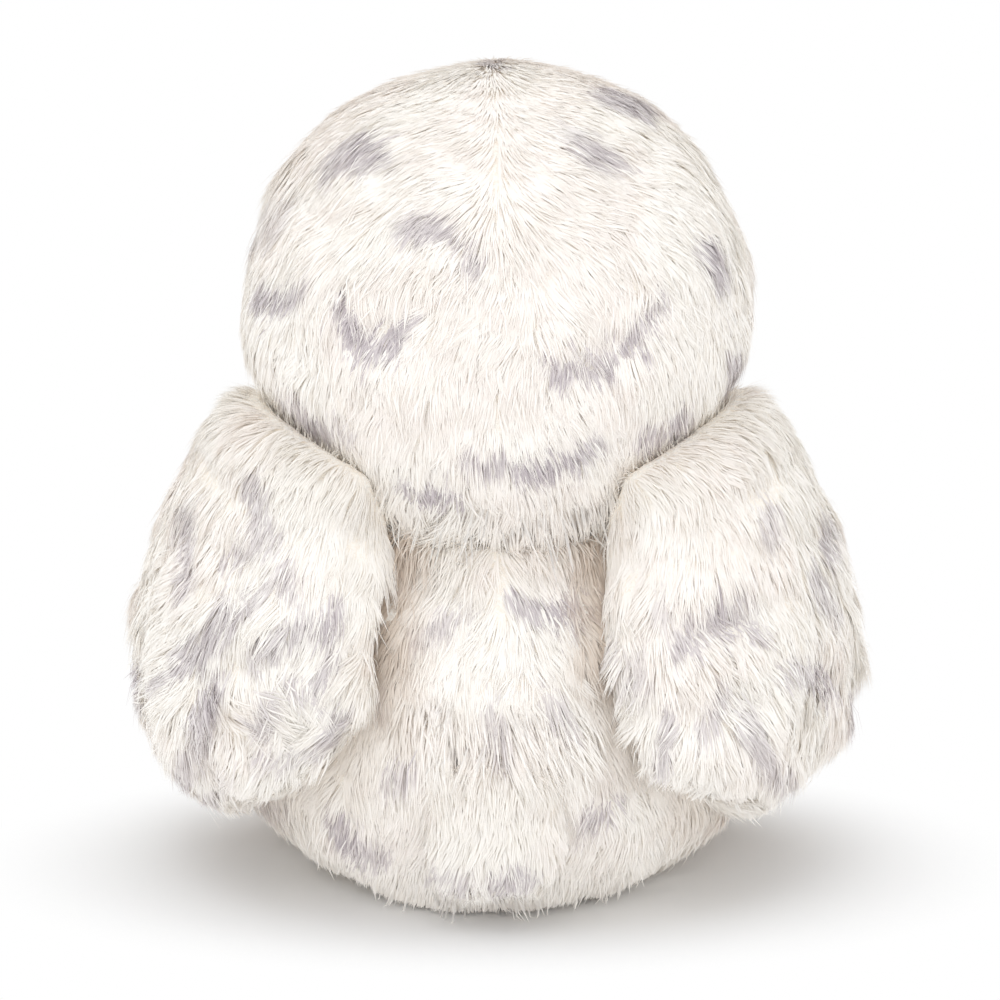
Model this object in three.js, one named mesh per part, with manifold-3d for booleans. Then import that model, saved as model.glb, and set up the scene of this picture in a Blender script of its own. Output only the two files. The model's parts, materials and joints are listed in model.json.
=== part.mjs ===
// Seated plush owl: fur-fabric panels sewn over stuffing, with loose wings and a loose tail flap.
// Millimetres, +Z up. The face looks along -Y and the owl's left wing lies on +X.
import * as THREE from "three";
import { mergeVertices } from "three/addons/utils/BufferGeometryUtils.js";
import Module from "manifold-3d";

const wasm = await Module();
wasm.setup();

// Cloth and seams
const seamGap = 0.3; // free space between two pieces that touch
const plushWall = 3; // knitted backing with the dense root of its pile
const liningWall = 2; // short-pile cloth under the wings and the tail
const baseWall = 2.5; // sole cloth that the owl sits on
const overrun = 6; // how far a cutter runs past what it cuts

// Body
const bodyHeight = 120;
const bodyHalfWidth = 72;
const bodyHalfDepth = 72;
const bodyLift = 0.6; // the side panels end this far above the sole
const bellyHalfWidth = 40;
const bellyTopDrop = 18; // the belly panel ends this far below the body's top
const bellyTuck = 2; // its oval runs this far under the sole
const pelletBagRadius = 38;
const pelletBagHeight = 22;

// Head and neck
const headHalfWidth = 63;
const headHalfDepth = 60;
const headHalfHeight = 63;
const headSink = 42; // how deep the head sits between the shoulders
const neckRadius = 19;
const neckRise = 22; // how far the neck stuffing reaches up into the head

// Face, placed from the head's centre
const eyeDiscRadius = 27;
const eyeDiscSpread = 20;
const eyeDiscRise = 8;
const chinDiscRadius = 25;
const chinDiscDrop = 13;
const eyeSpread = 20;
const eyeRise = 8;
const eyeRadius = 8;
const eyeDome = 5.5;
const eyeRimHeight = 1.2;
const shankRadius = 2.2;
const shankLength = 10;
const washerRadius = 6.5;
const washerThickness = 1.5;
const beakDrop = 5;
const beakHalfWidth = 5.5;
const beakHalfHeight = 8;
const beakReach = 9;
const beakHook = 7;

// Wings
const wingRise = 2; // the wing's seam lies this far above the body's top
const wingBottom = 18;
const wingTopDrop = 9; // the top edge falls this much to its two corners
const wingRearRise = 27; // the bottom edge climbs this much to the rear corner
const wingFrontRise = 14;
const wingAzimuth = 21; // degrees from +X towards the back
const wingTopHalfSpan = 36; // degrees to each side
const wingLowHalfSpan = 50;
const wingFlare = 3; // how far the tip stands off the body
const shoulderWadding = 22;
const wingTipWadding = 13;

// Tail flap
const tailTop = 47;
const tailBottom = 9;
const tailHalfWidth = 14;
const tailTopDrop = 2;
const tailCornerRise = 5;
const tailNotch = 3.5;
const tailFlare = 0.5;
const tailWadding = 4.5;

// Feet
const footSpread = 27;
const footHalfWidth = 14;
const footHalfLength = 15;
const footHeight = 16;
const footLift = 0.3; // the foot's round underside would start here
const soleFlat = 0.5; // and this much of it is pressed flat
const footReach = 18; // how far the toes show in front of the body
const toeCount = 3;
const toePitch = 9.5;
const toeHalfWidth = 6;
const toeHalfLength = 11;
const toeHeight = 12;
const toeSetBack = 2.5; // the outer toes start this far behind the middle one

// Facets
const bodySides = 28;
const headSides = 28;
const bodyRings = 11;
const headRings = 12;
const roundSides = 20;
const smallSides = 12;
const wingCellsAcross = 10;
const wingCellsDown = 9;
const tailCellsAcross = 8;
const tailCellsDown = 6;
const toeSides = 10;
const toeRings = 6;

// Each row: height, half width, half depth and shift to the back, as shares of the body's own.
const bodyShares = [
  [0, 0.75, 0.76, 0.04],
  [0.07, 0.86, 0.88, 0.05],
  [0.25, 0.97, 1, 0.05],
  [0.5, 0.93, 0.9, 0.02],
  [0.75, 0.8, 0.72, -0.02],
  [0.9, 0.7, 0.57, -0.04],
  [1, 0.6, 0.44, -0.04],
];
const headRoundBelowShare = 0.4; // under this height the head is round, so that it can turn
const headOvalAboveShare = 0.6;
const poleShare = 0.04; // radius of the small flat at a rounded end
const wingCornerShare = 0.24;
const tailSpreadShare = 0.12; // the tail widens to its end by this much
const notchWidthShare = 0.3;
const shoulderPower = 10; // how fast the wadding fills below the wing's seam
const rootPower = 4; // and below the tail's seam
const tipPower = 12; // how late it thins to the free edge
const rimPower = 8; // and to the wing's two sides

const headCentreHeight = bodyHeight - headSink + headHalfHeight;
const headBottom = headCentreHeight - headHalfHeight;
const wingTop = bodyHeight + wingRise;
const bellyTop = bodyHeight - bellyTopDrop;
const { degToRad, lerp, smoothstep } = THREE.MathUtils;

// Solids

function solid(geometry) {
  const bare = geometry.index ? geometry.toNonIndexed() : geometry.clone();
  bare.deleteAttribute("normal");
  bare.deleteAttribute("uv");
  const merged = mergeVertices(bare);
  return new wasm.Manifold(
    new wasm.Mesh({
      numProp: 3,
      vertProperties: merged.attributes.position.array,
      triVerts: new Uint32Array(merged.index.array),
    }),
  );
}

function geometryOf(manifold) {
  const { vertProperties, triVerts } = manifold.getMesh();
  const indexed = new THREE.BufferGeometry();
  indexed.setAttribute("position", new THREE.BufferAttribute(new Float32Array(vertProperties), 3));
  indexed.setIndex(new THREE.BufferAttribute(new Uint32Array(triVerts), 1));
  const flat = indexed.toNonIndexed();
  flat.computeVertexNormals();
  return flat;
}

function geometryFrom(points, faces) {
  const geometry = new THREE.BufferGeometry();
  geometry.setAttribute("position", new THREE.Float32BufferAttribute(points.flatMap((p) => p.toArray()), 3));
  geometry.setIndex(faces.flat());
  return geometry;
}

// A closed skin over rings of points that climb, with a flat cap on the first and the last.
function loft(rings) {
  const sides = rings[0].length;
  const points = rings.flat();
  const faces = [];
  for (let ring = 0; ring + 1 < rings.length; ring++) {
    for (let side = 0; side < sides; side++) {
      const next = (side + 1) % sides;
      const [a, b] = [ring * sides + side, ring * sides + next];
      faces.push([a, b, b + sides], [a, b + sides, a + sides]);
    }
  }
  const last = (rings.length - 1) * sides;
  for (let side = 1; side + 1 < sides; side++) {
    faces.push([0, side + 1, side], [last, last + side, last + side + 1]);
  }
  return geometryFrom(points, faces);
}

// A closed sheet between two surfaces over the same grid of across and down values.
function slab(front, back, across, down) {
  const count = across.length * down.length;
  const points = [];
  for (const surface of [front, back]) {
    for (const v of down) {
      for (const u of across) points.push(surface(u, v));
    }
  }
  const faces = [];
  const at = (column, row) => row * across.length + column;
  for (let row = 0; row + 1 < down.length; row++) {
    for (let column = 0; column + 1 < across.length; column++) {
      const [a, b] = [at(column, row), at(column + 1, row)];
      const [c, d] = [at(column, row + 1), at(column + 1, row + 1)];
      faces.push([a, c, b], [b, c, d]);
      faces.push([count + a, count + b, count + c], [count + b, count + d, count + c]);
    }
  }
  const rim = [];
  for (let column = 0; column + 1 < across.length; column++) rim.push(at(column, 0));
  for (let row = 0; row + 1 < down.length; row++) rim.push(at(across.length - 1, row));
  for (let column = across.length - 1; column > 0; column--) rim.push(at(column, down.length - 1));
  for (let row = down.length - 1; row > 0; row--) rim.push(at(0, row));
  rim.forEach((a, place) => {
    const b = rim[(place + 1) % rim.length];
    faces.push([a, b, count + a], [b, count + b, count + a]);
  });
  return geometryFrom(points, faces);
}

function mirrored(geometry) {
  const flipped = geometry.clone().scale(-1, 1, 1);
  const index = flipped.index.array;
  for (let corner = 0; corner < index.length; corner += 3) {
    [index[corner + 1], index[corner + 2]] = [index[corner + 2], index[corner + 1]];
  }
  return flipped;
}

// A round bar along Y between two depths, oval if its half width and half height differ.
function barAlongY(halfWidth, halfHeight, centreX, centreZ, fromY, toY, sides) {
  const bar = new THREE.CylinderGeometry(1, 1, toY - fromY, sides);
  bar.scale(halfWidth, 1, halfHeight);
  bar.translate(centreX, (fromY + toY) / 2, centreZ);
  return solid(bar);
}

function block(low, high) {
  const size = new THREE.Vector3().subVectors(high, low);
  const box = new THREE.BoxGeometry(size.x, size.y, size.z);
  const centre = new THREE.Vector3().addVectors(low, high).multiplyScalar(0.5);
  return solid(box.translate(centre.x, centre.y, centre.z));
}

// A smooth value between the rows of a table whose first column climbs.
function between(rows, share, column) {
  const last = rows.length - 1;
  const slope = (row) => {
    const [low, high] = [rows[Math.max(row - 1, 0)], rows[Math.min(row + 1, last)]];
    return (high[column] - low[column]) / (high[0] - low[0]);
  };
  let row = 0;
  while (row < last - 1 && share > rows[row + 1][0]) row++;
  const width = rows[row + 1][0] - rows[row][0];
  const t = (share - rows[row][0]) / width;
  const rest = 1 - t;
  return (
    rows[row][column] * rest * rest * (1 + 2 * t) +
    rows[row + 1][column] * t * t * (1 + 2 * rest) +
    slope(row) * width * t * rest * rest -
    slope(row + 1) * width * t * t * rest
  );
}

// Body and head forms: an oval section for each height, which can be grown or shrunk

const bodyRows = Array.from({ length: bodyRings + 1 }, (_, ring) => {
  const share = ring / bodyRings;
  return [1, 2, 3].map((column) => between(bodyShares, share, column));
});

// Straight between the rings, so that forms of different sizes nest facet over facet.
function bodySection(height, grow) {
  const along = THREE.MathUtils.clamp(height / bodyHeight, 0, 1) * bodyRings;
  const ring = Math.min(Math.floor(along), bodyRings - 1);
  const [width, depth, shift] = bodyRows[ring].map((low, column) =>
    lerp(low, bodyRows[ring + 1][column], along - ring),
  );
  return {
    halfWidth: bodyHalfWidth * width + grow,
    halfDepth: bodyHalfDepth * depth + grow,
    shift: bodyHalfDepth * shift,
  };
}

function headSection(height, grow) {
  const rise = THREE.MathUtils.clamp((height - headCentreHeight) / (headHalfHeight + grow), -1, 1);
  const round = Math.max(Math.sqrt(1 - rise * rise), poleShare);
  const oval = smoothstep((rise + 1) / 2, headRoundBelowShare, headOvalAboveShare);
  return {
    halfWidth: (headHalfWidth + grow) * round,
    halfDepth: (lerp(headHalfWidth, headHalfDepth, oval) + grow) * round,
    shift: 0,
  };
}

function ringOf(section, height, sides) {
  const ring = [];
  for (let side = 0; side < sides; side++) {
    const angle = (side / sides) * 2 * Math.PI;
    ring.push(
      new THREE.Vector3(
        section.halfWidth * Math.cos(angle),
        section.halfDepth * Math.sin(angle) + section.shift,
        height,
      ),
    );
  }
  return ring;
}

function bodyForm(grow, from, to) {
  const heights = bodyRows.map((_, ring) => (bodyHeight * ring) / bodyRings);
  const inside = heights.filter((height) => height > from && height < to);
  const ringAt = (height) => ringOf(bodySection(height, grow), height, bodySides);
  return solid(loft([from, ...inside, to].map(ringAt)));
}

function headForm(grow) {
  const rings = [];
  for (let ring = 0; ring <= headRings; ring++) {
    const height = headCentreHeight - (headHalfHeight + grow) * Math.cos((ring / headRings) * Math.PI);
    rings.push(ringOf(headSection(height, grow), height, headSides));
  }
  return solid(loft(rings));
}

// Distance from the upright axis to an oval section's edge, in a direction given in radians.
function reachOf(section, angle) {
  const [c, s] = [Math.cos(angle) / section.halfWidth, Math.sin(angle) / section.halfDepth];
  const offset = section.shift / section.halfDepth;
  const a = c * c + s * s;
  const b = s * offset;
  return (b + Math.sqrt(b * b - a * (offset * offset - 1))) / a;
}

function shoulderReach(height, angle) {
  const overBody = reachOf(bodySection(height, 0), angle);
  const overHead = height > headBottom ? reachOf(headSection(height, 0), angle) : 0;
  return Math.max(overBody, overHead);
}

const bodyOuter = bodyForm(0, bodyLift, bodyHeight);
const bodyInner = bodyForm(-plushWall, -overrun, bodyHeight + overrun);
const headRoom = headForm(seamGap);
const headOuter = headForm(0);
const headInner = headForm(-plushWall);
const bodyRoom = bodyForm(seamGap, -overrun, bodyHeight);

// Neck: one column of stuffing that stands in a socket in the head

const neckTop = headBottom + neckRise;

function neckColumn(grow) {
  const from = headBottom - overrun;
  const to = neckTop + grow;
  const column = new THREE.CylinderGeometry(neckRadius + grow, neckRadius + grow, to - from, roundSides);
  return solid(column.rotateX(Math.PI / 2).translate(0, 0, (from + to) / 2));
}

const neckRoom = neckColumn(seamGap);

// A half of the space on one side of the centre seam
function halfSpace(side) {
  const reach = 2 * (headHalfWidth + bodyHalfWidth);
  const [near, far] = [(seamGap / 2) * side, reach * side];
  return block(
    new THREE.Vector3(Math.min(near, far), -reach, -reach),
    new THREE.Vector3(Math.max(near, far), reach, 2 * reach),
  );
}

const leftHalf = halfSpace(1);
const rightHalf = halfSpace(-1);

// Body panels and filling

function bellyCutter(grow) {
  const front = -(bodyHalfDepth + overrun);
  const halfHeight = (bellyTop + bellyTuck) / 2;
  const centreHeight = (bellyTop - bellyTuck) / 2;
  return barAlongY(bellyHalfWidth + grow, halfHeight + grow, 0, centreHeight, front, 0, roundSides);
}

function bodyPanels() {
  const skin = bodyOuter.subtract(bodyInner).subtract(headRoom);
  const back = skin.subtract(bellyCutter(seamGap));
  return {
    left: back.intersect(leftHalf),
    right: back.intersect(rightHalf),
    belly: skin.intersect(bellyCutter(0)),
  };
}

function basePanel() {
  const section = bodySection(0, -plushWall - seamGap);
  return solid(loft([ringOf(section, 0, bodySides), ringOf(section, baseWall, bodySides)]));
}

const pelletWaistShare = 0.42; // height of the bag's widest ring
const pelletBagShares = [
  [0.84, 0],
  [0.97, 0.16],
  [1, pelletWaistShare],
  [0.9, 0.72],
  [0.6, 0.93],
  [0.24, 1],
];

function pelletBag(grow) {
  const foot = baseWall + seamGap;
  const outline = pelletBagShares.map(
    ([across, up]) =>
      new THREE.Vector2(
        pelletBagRadius * across + grow,
        foot + pelletBagHeight * up + grow * Math.sign(up - pelletWaistShare),
      ),
  );
  const [low, high] = [outline[0].y, outline.at(-1).y];
  const profile = [new THREE.Vector2(0, low), ...outline, new THREE.Vector2(0, high)];
  return solid(new THREE.LatheGeometry(profile, roundSides).rotateX(Math.PI / 2));
}

function bodyStuffing() {
  const filling = bodyForm(-plushWall - seamGap, baseWall + seamGap, bodyHeight);
  return filling.subtract(headRoom).add(neckColumn(0)).subtract(pelletBag(seamGap));
}

// Head panels, eyes and beak

function faceCutter(grow) {
  const front = -(headHalfDepth + overrun);
  const disc = (radius, x, rise) =>
    barAlongY(radius + grow, radius + grow, x, headCentreHeight + rise, front, 0, roundSides);
  return disc(eyeDiscRadius, eyeDiscSpread, eyeDiscRise)
    .add(disc(eyeDiscRadius, -eyeDiscSpread, eyeDiscRise))
    .add(disc(chinDiscRadius, 0, -chinDiscDrop));
}

function facePoint(x, height) {
  const section = headSection(height, 0);
  return new THREE.Vector3(x, -section.halfDepth * Math.sqrt(1 - (x / section.halfWidth) ** 2), height);
}

// A frame on the face: its origin on the head's surface, its Z along the surface normal.
function faceFrame(x, rise) {
  const height = headCentreHeight + rise;
  const across = facePoint(x + eyeRadius, height).sub(facePoint(x - eyeRadius, height));
  const up = facePoint(x, height + eyeRadius).sub(facePoint(x, height - eyeRadius));
  const normal = across.cross(up).normalize();
  const turn = new THREE.Quaternion().setFromUnitVectors(new THREE.Vector3(0, 0, 1), normal);
  return new THREE.Matrix4().compose(facePoint(x, height), turn, new THREE.Vector3(1, 1, 1));
}

function turned(profile, sides) {
  const points = profile.map(([radius, height]) => new THREE.Vector2(radius, height));
  return new THREE.LatheGeometry(points, sides).rotateX(Math.PI / 2);
}

const leftEyeFrame = faceFrame(eyeSpread, eyeRise);
const rightEyeFrame = faceFrame(-eyeSpread, eyeRise);
const washerSag = (washerRadius * washerRadius) / headHalfDepth; // curve of the face under a flat washer
const washerFront = -(plushWall + seamGap + washerSag);
const domeShares = [
  [1, 0],
  [0.97, 0.3],
  [0.84, 0.62],
  [0.6, 0.86],
  [0.3, 0.97],
];

// A domed eye whose shank goes through the face cloth, seen in its own frame.
function eyeGeometry() {
  const dome = domeShares.map(([across, up]) => [
    eyeRadius * across,
    seamGap + eyeRimHeight + eyeDome * up,
  ]);
  const profile = [
    [0, -shankLength],
    [shankRadius, -shankLength],
    [shankRadius, seamGap],
    [eyeRadius, seamGap],
    ...dome,
    [0, seamGap + eyeRimHeight + eyeDome],
  ];
  return turned(profile, roundSides);
}

function washerGeometry() {
  const [hole, back] = [shankRadius + seamGap, washerFront - washerThickness];
  const profile = [
    [hole, back],
    [washerRadius, back],
    [washerRadius, washerFront],
    [hole, washerFront],
    [hole, back],
  ];
  return turned(profile, smallSides);
}

function boreGeometry(radius, from, to) {
  const profile = [
    [0, from],
    [radius, from],
    [radius, to],
    [0, to],
  ];
  return turned(profile, smallSides);
}

function headPanels() {
  const skin = headOuter.subtract(headInner).subtract(neckRoom);
  const back = skin.subtract(faceCutter(seamGap));
  let face = skin.intersect(faceCutter(0));
  for (const frame of [leftEyeFrame, rightEyeFrame]) {
    const hole = boreGeometry(shankRadius + seamGap, -shankLength, overrun);
    face = face.subtract(solid(hole.applyMatrix4(frame)));
  }
  return { left: back.intersect(leftHalf), right: back.intersect(rightHalf), face };
}

function headStuffing() {
  let filling = headForm(-plushWall - seamGap).subtract(neckRoom);
  for (const frame of [leftEyeFrame, rightEyeFrame]) {
    const pocket = boreGeometry(washerRadius + seamGap, washerFront - washerThickness - seamGap, 0);
    const shaft = boreGeometry(shankRadius + seamGap, -shankLength - seamGap, 0);
    filling = filling.subtract(solid(pocket.applyMatrix4(frame)));
    filling = filling.subtract(solid(shaft.applyMatrix4(frame)));
  }
  return filling;
}

// Each row: how far along the hooked middle line, and the section's share of the beak's root.
const beakShares = [
  [0, 1],
  [0.22, 0.98],
  [0.45, 0.84],
  [0.66, 0.62],
  [0.84, 0.36],
  [1, 0.1],
];

function beakSolid() {
  const height = headCentreHeight - beakDrop;
  const root = -headSection(height, 0).halfDepth + plushWall;
  const middle = new THREE.QuadraticBezierCurve3(
    new THREE.Vector3(0, root, height),
    new THREE.Vector3(0, root - plushWall - beakReach, height),
    new THREE.Vector3(0, root - plushWall - beakReach, height - beakHook - beakHalfHeight),
  );
  const rings = beakShares.map(([along, size]) => {
    const centre = middle.getPoint(along);
    const ahead = middle.getTangent(along);
    const up = new THREE.Vector3(0, ahead.z, -ahead.y);
    const ring = [];
    for (let side = 0; side < smallSides; side++) {
      const angle = (side / smallSides) * 2 * Math.PI;
      const across = beakHalfWidth * size * Math.cos(angle);
      ring.push(
        centre
          .clone()
          .addScaledVector(up, beakHalfHeight * size * Math.sin(angle))
          .add(new THREE.Vector3(across, 0, 0)),
      );
    }
    return ring;
  });
  return solid(loft(rings)).subtract(headRoom);
}

// Wings and tail: three layers that hang over the body from a seam along their top edge

function spread(from, to, cells) {
  const values = [];
  for (let cell = 0; cell <= cells; cell++) {
    const ease = (1 - Math.cos((cell / cells) * Math.PI)) / 2;
    values.push(lerp(from, to, lerp(cell / cells, ease, 0.5)));
  }
  return values;
}

// place(u, v) gives an angle in radians and a height, stand(v) how far the lining stands off,
// swell(u, v) how thick the wadding is there. u runs across from -1 to 1 and v down from 0 to 1.
function flap({ place, stand, swell, across, down }) {
  const layer = (wadded, cloth) => (u, v) => {
    const { angle, height } = place(u, v);
    const reach = shoulderReach(height, angle) + seamGap + stand(v) + cloth + wadded * swell(u, v);
    return new THREE.Vector3(reach * Math.cos(angle), reach * Math.sin(angle), height);
  };
  const waddingBase = liningWall + seamGap;
  const outerBase = waddingBase + seamGap;
  return {
    lining: slab(layer(0, liningWall), layer(0, 0), across, down),
    wadding: slab(layer(1, waddingBase), layer(0, waddingBase), across.slice(1, -1), down.slice(1, -1)),
    outer: slab(layer(1, outerBase + plushWall), layer(1, outerBase), across, down),
  };
}

function wingLayers() {
  const place = (u, v) => {
    const halfSpan = lerp(wingTopHalfSpan, wingLowHalfSpan, smoothstep(v, 0, 1));
    const top = wingTop - wingTopDrop * u * u;
    const bottom = wingBottom + (u > 0 ? wingRearRise : wingFrontRise) * u * u;
    return {
      angle: degToRad(wingAzimuth + u * halfSpan * (1 - wingCornerShare * v ** 4)),
      height: lerp(top, bottom, v),
    };
  };
  return flap({
    place,
    stand: (v) => wingFlare * v,
    swell: (u, v) => {
      const full = lerp(shoulderWadding, wingTipWadding, v) * (1 - u ** rimPower);
      return full * (1 - (1 - v) ** shoulderPower) * (1 - v ** tipPower);
    },
    across: spread(-1, 1, wingCellsAcross),
    down: spread(0, 1, wingCellsDown),
  });
}

function tailLayers() {
  const rootReach = reachOf(bodySection(tailTop, 0), Math.PI / 2);
  const halfSpan = Math.asin(tailHalfWidth / rootReach);
  const place = (u, v) => {
    const notch = tailNotch * Math.exp(-((u / notchWidthShare) ** 2));
    const top = tailTop - tailTopDrop * u * u;
    const bottom = tailBottom + tailCornerRise * u ** 4 + notch;
    return {
      angle: Math.PI / 2 - u * halfSpan * (1 + tailSpreadShare * Math.sin(v * Math.PI)),
      height: lerp(top, bottom, v),
    };
  };
  return flap({
    place,
    stand: (v) => tailFlare * v,
    swell: (u, v) => tailWadding * (1 - u * u) * (1 - (1 - v) ** rootPower) * (1 - v ** tipPower),
    across: spread(1, -1, tailCellsAcross),
    down: spread(0, 1, tailCellsDown),
  });
}

// Feet: a pad and three toes grown together, set under the belly's edge and flat below

function roundForm(halfWidth, halfLength, halfHeight, x, y, z) {
  const form = new THREE.SphereGeometry(1, toeSides, toeRings).rotateX(Math.PI / 2);
  return solid(form.scale(halfWidth, halfLength, halfHeight).translate(x, y, z));
}

function footSolid() {
  const edge = bodySection(footHeight, 0);
  const tip = edge.shift - edge.halfDepth - footReach;
  const padY = tip + toeHalfLength + footHalfLength;
  const middle = footLift + footHeight / 2;
  let foot = roundForm(footHalfWidth, footHalfLength, footHeight / 2, footSpread, padY, middle);
  for (let toe = 0; toe < toeCount; toe++) {
    const aside = toe - (toeCount - 1) / 2;
    const x = footSpread + aside * toePitch;
    const y = tip + toeHalfLength + Math.abs(aside) * toeSetBack;
    foot = foot.add(roundForm(toeHalfWidth, toeHalfLength, toeHeight / 2, x, y, footLift + toeHeight / 2));
  }
  const reach = footHalfWidth + toePitch + footHalfLength;
  const sole = block(
    new THREE.Vector3(footSpread - reach, tip - overrun, -overrun),
    new THREE.Vector3(footSpread + reach, 0, footLift + soleFlat),
  );
  return foot.subtract(sole).subtract(bodyRoom);
}

// Materials

function material(colour, roughness) {
  return new THREE.MeshStandardMaterial({ color: colour, roughness, metalness: 0 });
}

const materials = {
  longFur: material(0xf3eee8, 0.95),
  faceFur: material(0xfaf6ee, 0.95),
  bellyFur: material(0xf7f1e6, 0.95),
  lining: material(0xefe6da, 0.95),
  sole: material(0xf2eadb, 0.95),
  fibre: material(0xffffff, 1),
  pellets: material(0xe4e0d6, 0.9),
  eye: material(0xd08a1c, 0.12),
  washer: material(0xd9dcdd, 0.5),
  beak: material(0x2b2a2c, 0.6),
  foot: material(0xf3ece2, 0.95),
};

// Assembly

const owl = new THREE.Group();

function addPiece(group, name, geometry, finish) {
  const mesh = new THREE.Mesh(geometry, finish);
  mesh.name = name;
  group.add(mesh);
  return mesh;
}

function addBody() {
  const body = new THREE.Group();
  const panels = bodyPanels();
  const foot = footSolid();
  addPiece(body, "body_back_left", geometryOf(panels.left), materials.longFur);
  addPiece(body, "body_back_right", geometryOf(panels.right), materials.longFur);
  addPiece(body, "body_belly", geometryOf(panels.belly), materials.bellyFur);
  addPiece(body, "base_panel", geometryOf(basePanel()), materials.sole);
  addPiece(body, "body_stuffing", geometryOf(bodyStuffing()), materials.fibre);
  addPiece(body, "pellet_bag", geometryOf(pelletBag(0)), materials.pellets);
  addPiece(body, "foot_left", geometryOf(foot), materials.foot);
  addPiece(body, "foot_right", geometryOf(foot.mirror([1, 0, 0])), materials.foot);
  owl.add(body);
}

function addHead() {
  const head = new THREE.Group();
  const panels = headPanels();
  addPiece(head, "head_left", geometryOf(panels.left), materials.longFur);
  addPiece(head, "head_right", geometryOf(panels.right), materials.longFur);
  addPiece(head, "face_disc", geometryOf(panels.face), materials.faceFur);
  addPiece(head, "head_stuffing", geometryOf(headStuffing()), materials.fibre);
  addPiece(head, "beak", geometryOf(beakSolid()), materials.beak);
  for (const [side, frame] of [
    ["left", leftEyeFrame],
    ["right", rightEyeFrame],
  ]) {
    addPiece(head, "eye_" + side, eyeGeometry().applyMatrix4(frame), materials.eye);
    addPiece(head, "eye_washer_" + side, washerGeometry().applyMatrix4(frame), materials.washer);
  }
  owl.add(head);
}

function addWing(side) {
  const wing = new THREE.Group();
  const layers = wingLayers();
  const finishes = { outer: materials.longFur, lining: materials.lining, wadding: materials.fibre };
  for (const [layer, finish] of Object.entries(finishes)) {
    const geometry = side === "left" ? layers[layer] : mirrored(layers[layer]);
    const cleared = solid(geometry).subtract(bodyRoom).subtract(headRoom);
    addPiece(wing, ["wing", side, layer].join("_"), geometryOf(cleared), finish);
  }
  owl.add(wing);
}

function addTail() {
  const tail = new THREE.Group();
  const layers = tailLayers();
  const finishes = { outer: materials.longFur, lining: materials.lining, wadding: materials.fibre };
  for (const [layer, finish] of Object.entries(finishes)) {
    addPiece(tail, "tail_" + layer, geometryOf(solid(layers[layer]).subtract(bodyRoom)), finish);
  }
  owl.add(tail);
}

addBody();
addHead();
addWing("left");
addWing("right");
addTail();

// The origin is on the floor, under the middle of the whole owl.
const extent = new THREE.Box3().setFromObject(owl);
owl.position.y = -(extent.min.y + extent.max.y) / 2;

export default owl;
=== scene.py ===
import json
import math

import bmesh
import bpy
import numpy as np
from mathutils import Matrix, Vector
from mathutils.bvhtree import BVHTree
from mathutils.kdtree import KDTree


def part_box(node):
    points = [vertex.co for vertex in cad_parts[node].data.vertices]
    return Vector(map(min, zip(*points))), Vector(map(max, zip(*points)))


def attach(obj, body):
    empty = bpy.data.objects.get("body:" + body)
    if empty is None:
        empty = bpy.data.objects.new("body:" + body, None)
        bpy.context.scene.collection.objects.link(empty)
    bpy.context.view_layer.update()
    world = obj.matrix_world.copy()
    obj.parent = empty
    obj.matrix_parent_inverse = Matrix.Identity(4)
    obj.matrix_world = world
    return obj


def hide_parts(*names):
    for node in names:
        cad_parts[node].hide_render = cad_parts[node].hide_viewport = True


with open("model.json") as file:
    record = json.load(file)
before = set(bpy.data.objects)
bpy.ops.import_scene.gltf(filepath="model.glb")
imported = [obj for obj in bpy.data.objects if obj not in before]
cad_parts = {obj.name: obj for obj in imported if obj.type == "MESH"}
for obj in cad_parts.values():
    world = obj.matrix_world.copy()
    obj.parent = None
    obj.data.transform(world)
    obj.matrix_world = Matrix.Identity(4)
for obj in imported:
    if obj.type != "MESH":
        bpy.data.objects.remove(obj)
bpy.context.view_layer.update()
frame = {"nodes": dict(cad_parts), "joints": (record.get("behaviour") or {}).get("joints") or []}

# Arrays of places hold millimetres, in the row frame; meshes and objects are in metres.
MM = 0.001
X_AXIS, Y_AXIS, Z_AXIS = np.eye(3)
SEED = 11

# The photograph's view: from behind and above, with a long lens
IMAGE_SIDE = 1000
VIEW_TARGET = np.array([-0.8, -0.9, 88.8])
VIEW_ELEVATION = math.radians(20)
VIEW_DISTANCE = 1500
LENS = 209
SENSOR = 36
BACKWARD = np.array([0, math.cos(VIEW_ELEVATION), math.sin(VIEW_ELEVATION)])
UPWARD = np.array([0, -math.sin(VIEW_ELEVATION), math.cos(VIEW_ELEVATION)])
EYE_POINT = VIEW_TARGET + VIEW_DISTANCE * BACKWARD


def node_box(node):
    """A node's lowest and highest corners in millimetres."""
    return [np.array(corner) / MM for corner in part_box(node)]


# Places on the solids
MIDDLE_Y = next(j["pos_m"][1] for j in frame["joints"] if j["name"] == "head_turn") / MM
HEAD_HALF_HEIGHT = 63
HEAD_CENTRE = np.array([0, MIDDLE_Y, node_box("head_left")[1][2] - HEAD_HALF_HEIGHT])
FACE_DISCS = [(20, 8, 27), (-20, 8, 27), (0, -13, 25)]  # x, rise over the head's centre, radius
BELLY_HALF_WIDTH, BELLY_TOP = 40, 102
BEAK_LOW, BEAK_HIGH = node_box("beak")
WING_TOP = node_box("wing_left_outer")[1][2]
TAIL_TOP = node_box("tail_outer")[1][2]

DENSITY_SCALE = 1.0


# Small helpers on arrays of vectors


def unit(v):
    return v / np.maximum(np.linalg.norm(v, axis=-1, keepdims=True), 1e-9)


def dot(a, b):
    return np.sum(a * b, axis=-1)


def along_surface(v, normals):
    """v without its part along the normals, at unit length."""
    return unit(v - normals * dot(v, normals)[:, None])


def smoothstep(low, high, x):
    t = np.clip((x - low) / (high - low), 0, 1)
    return t * t * (3 - 2 * t)


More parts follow.
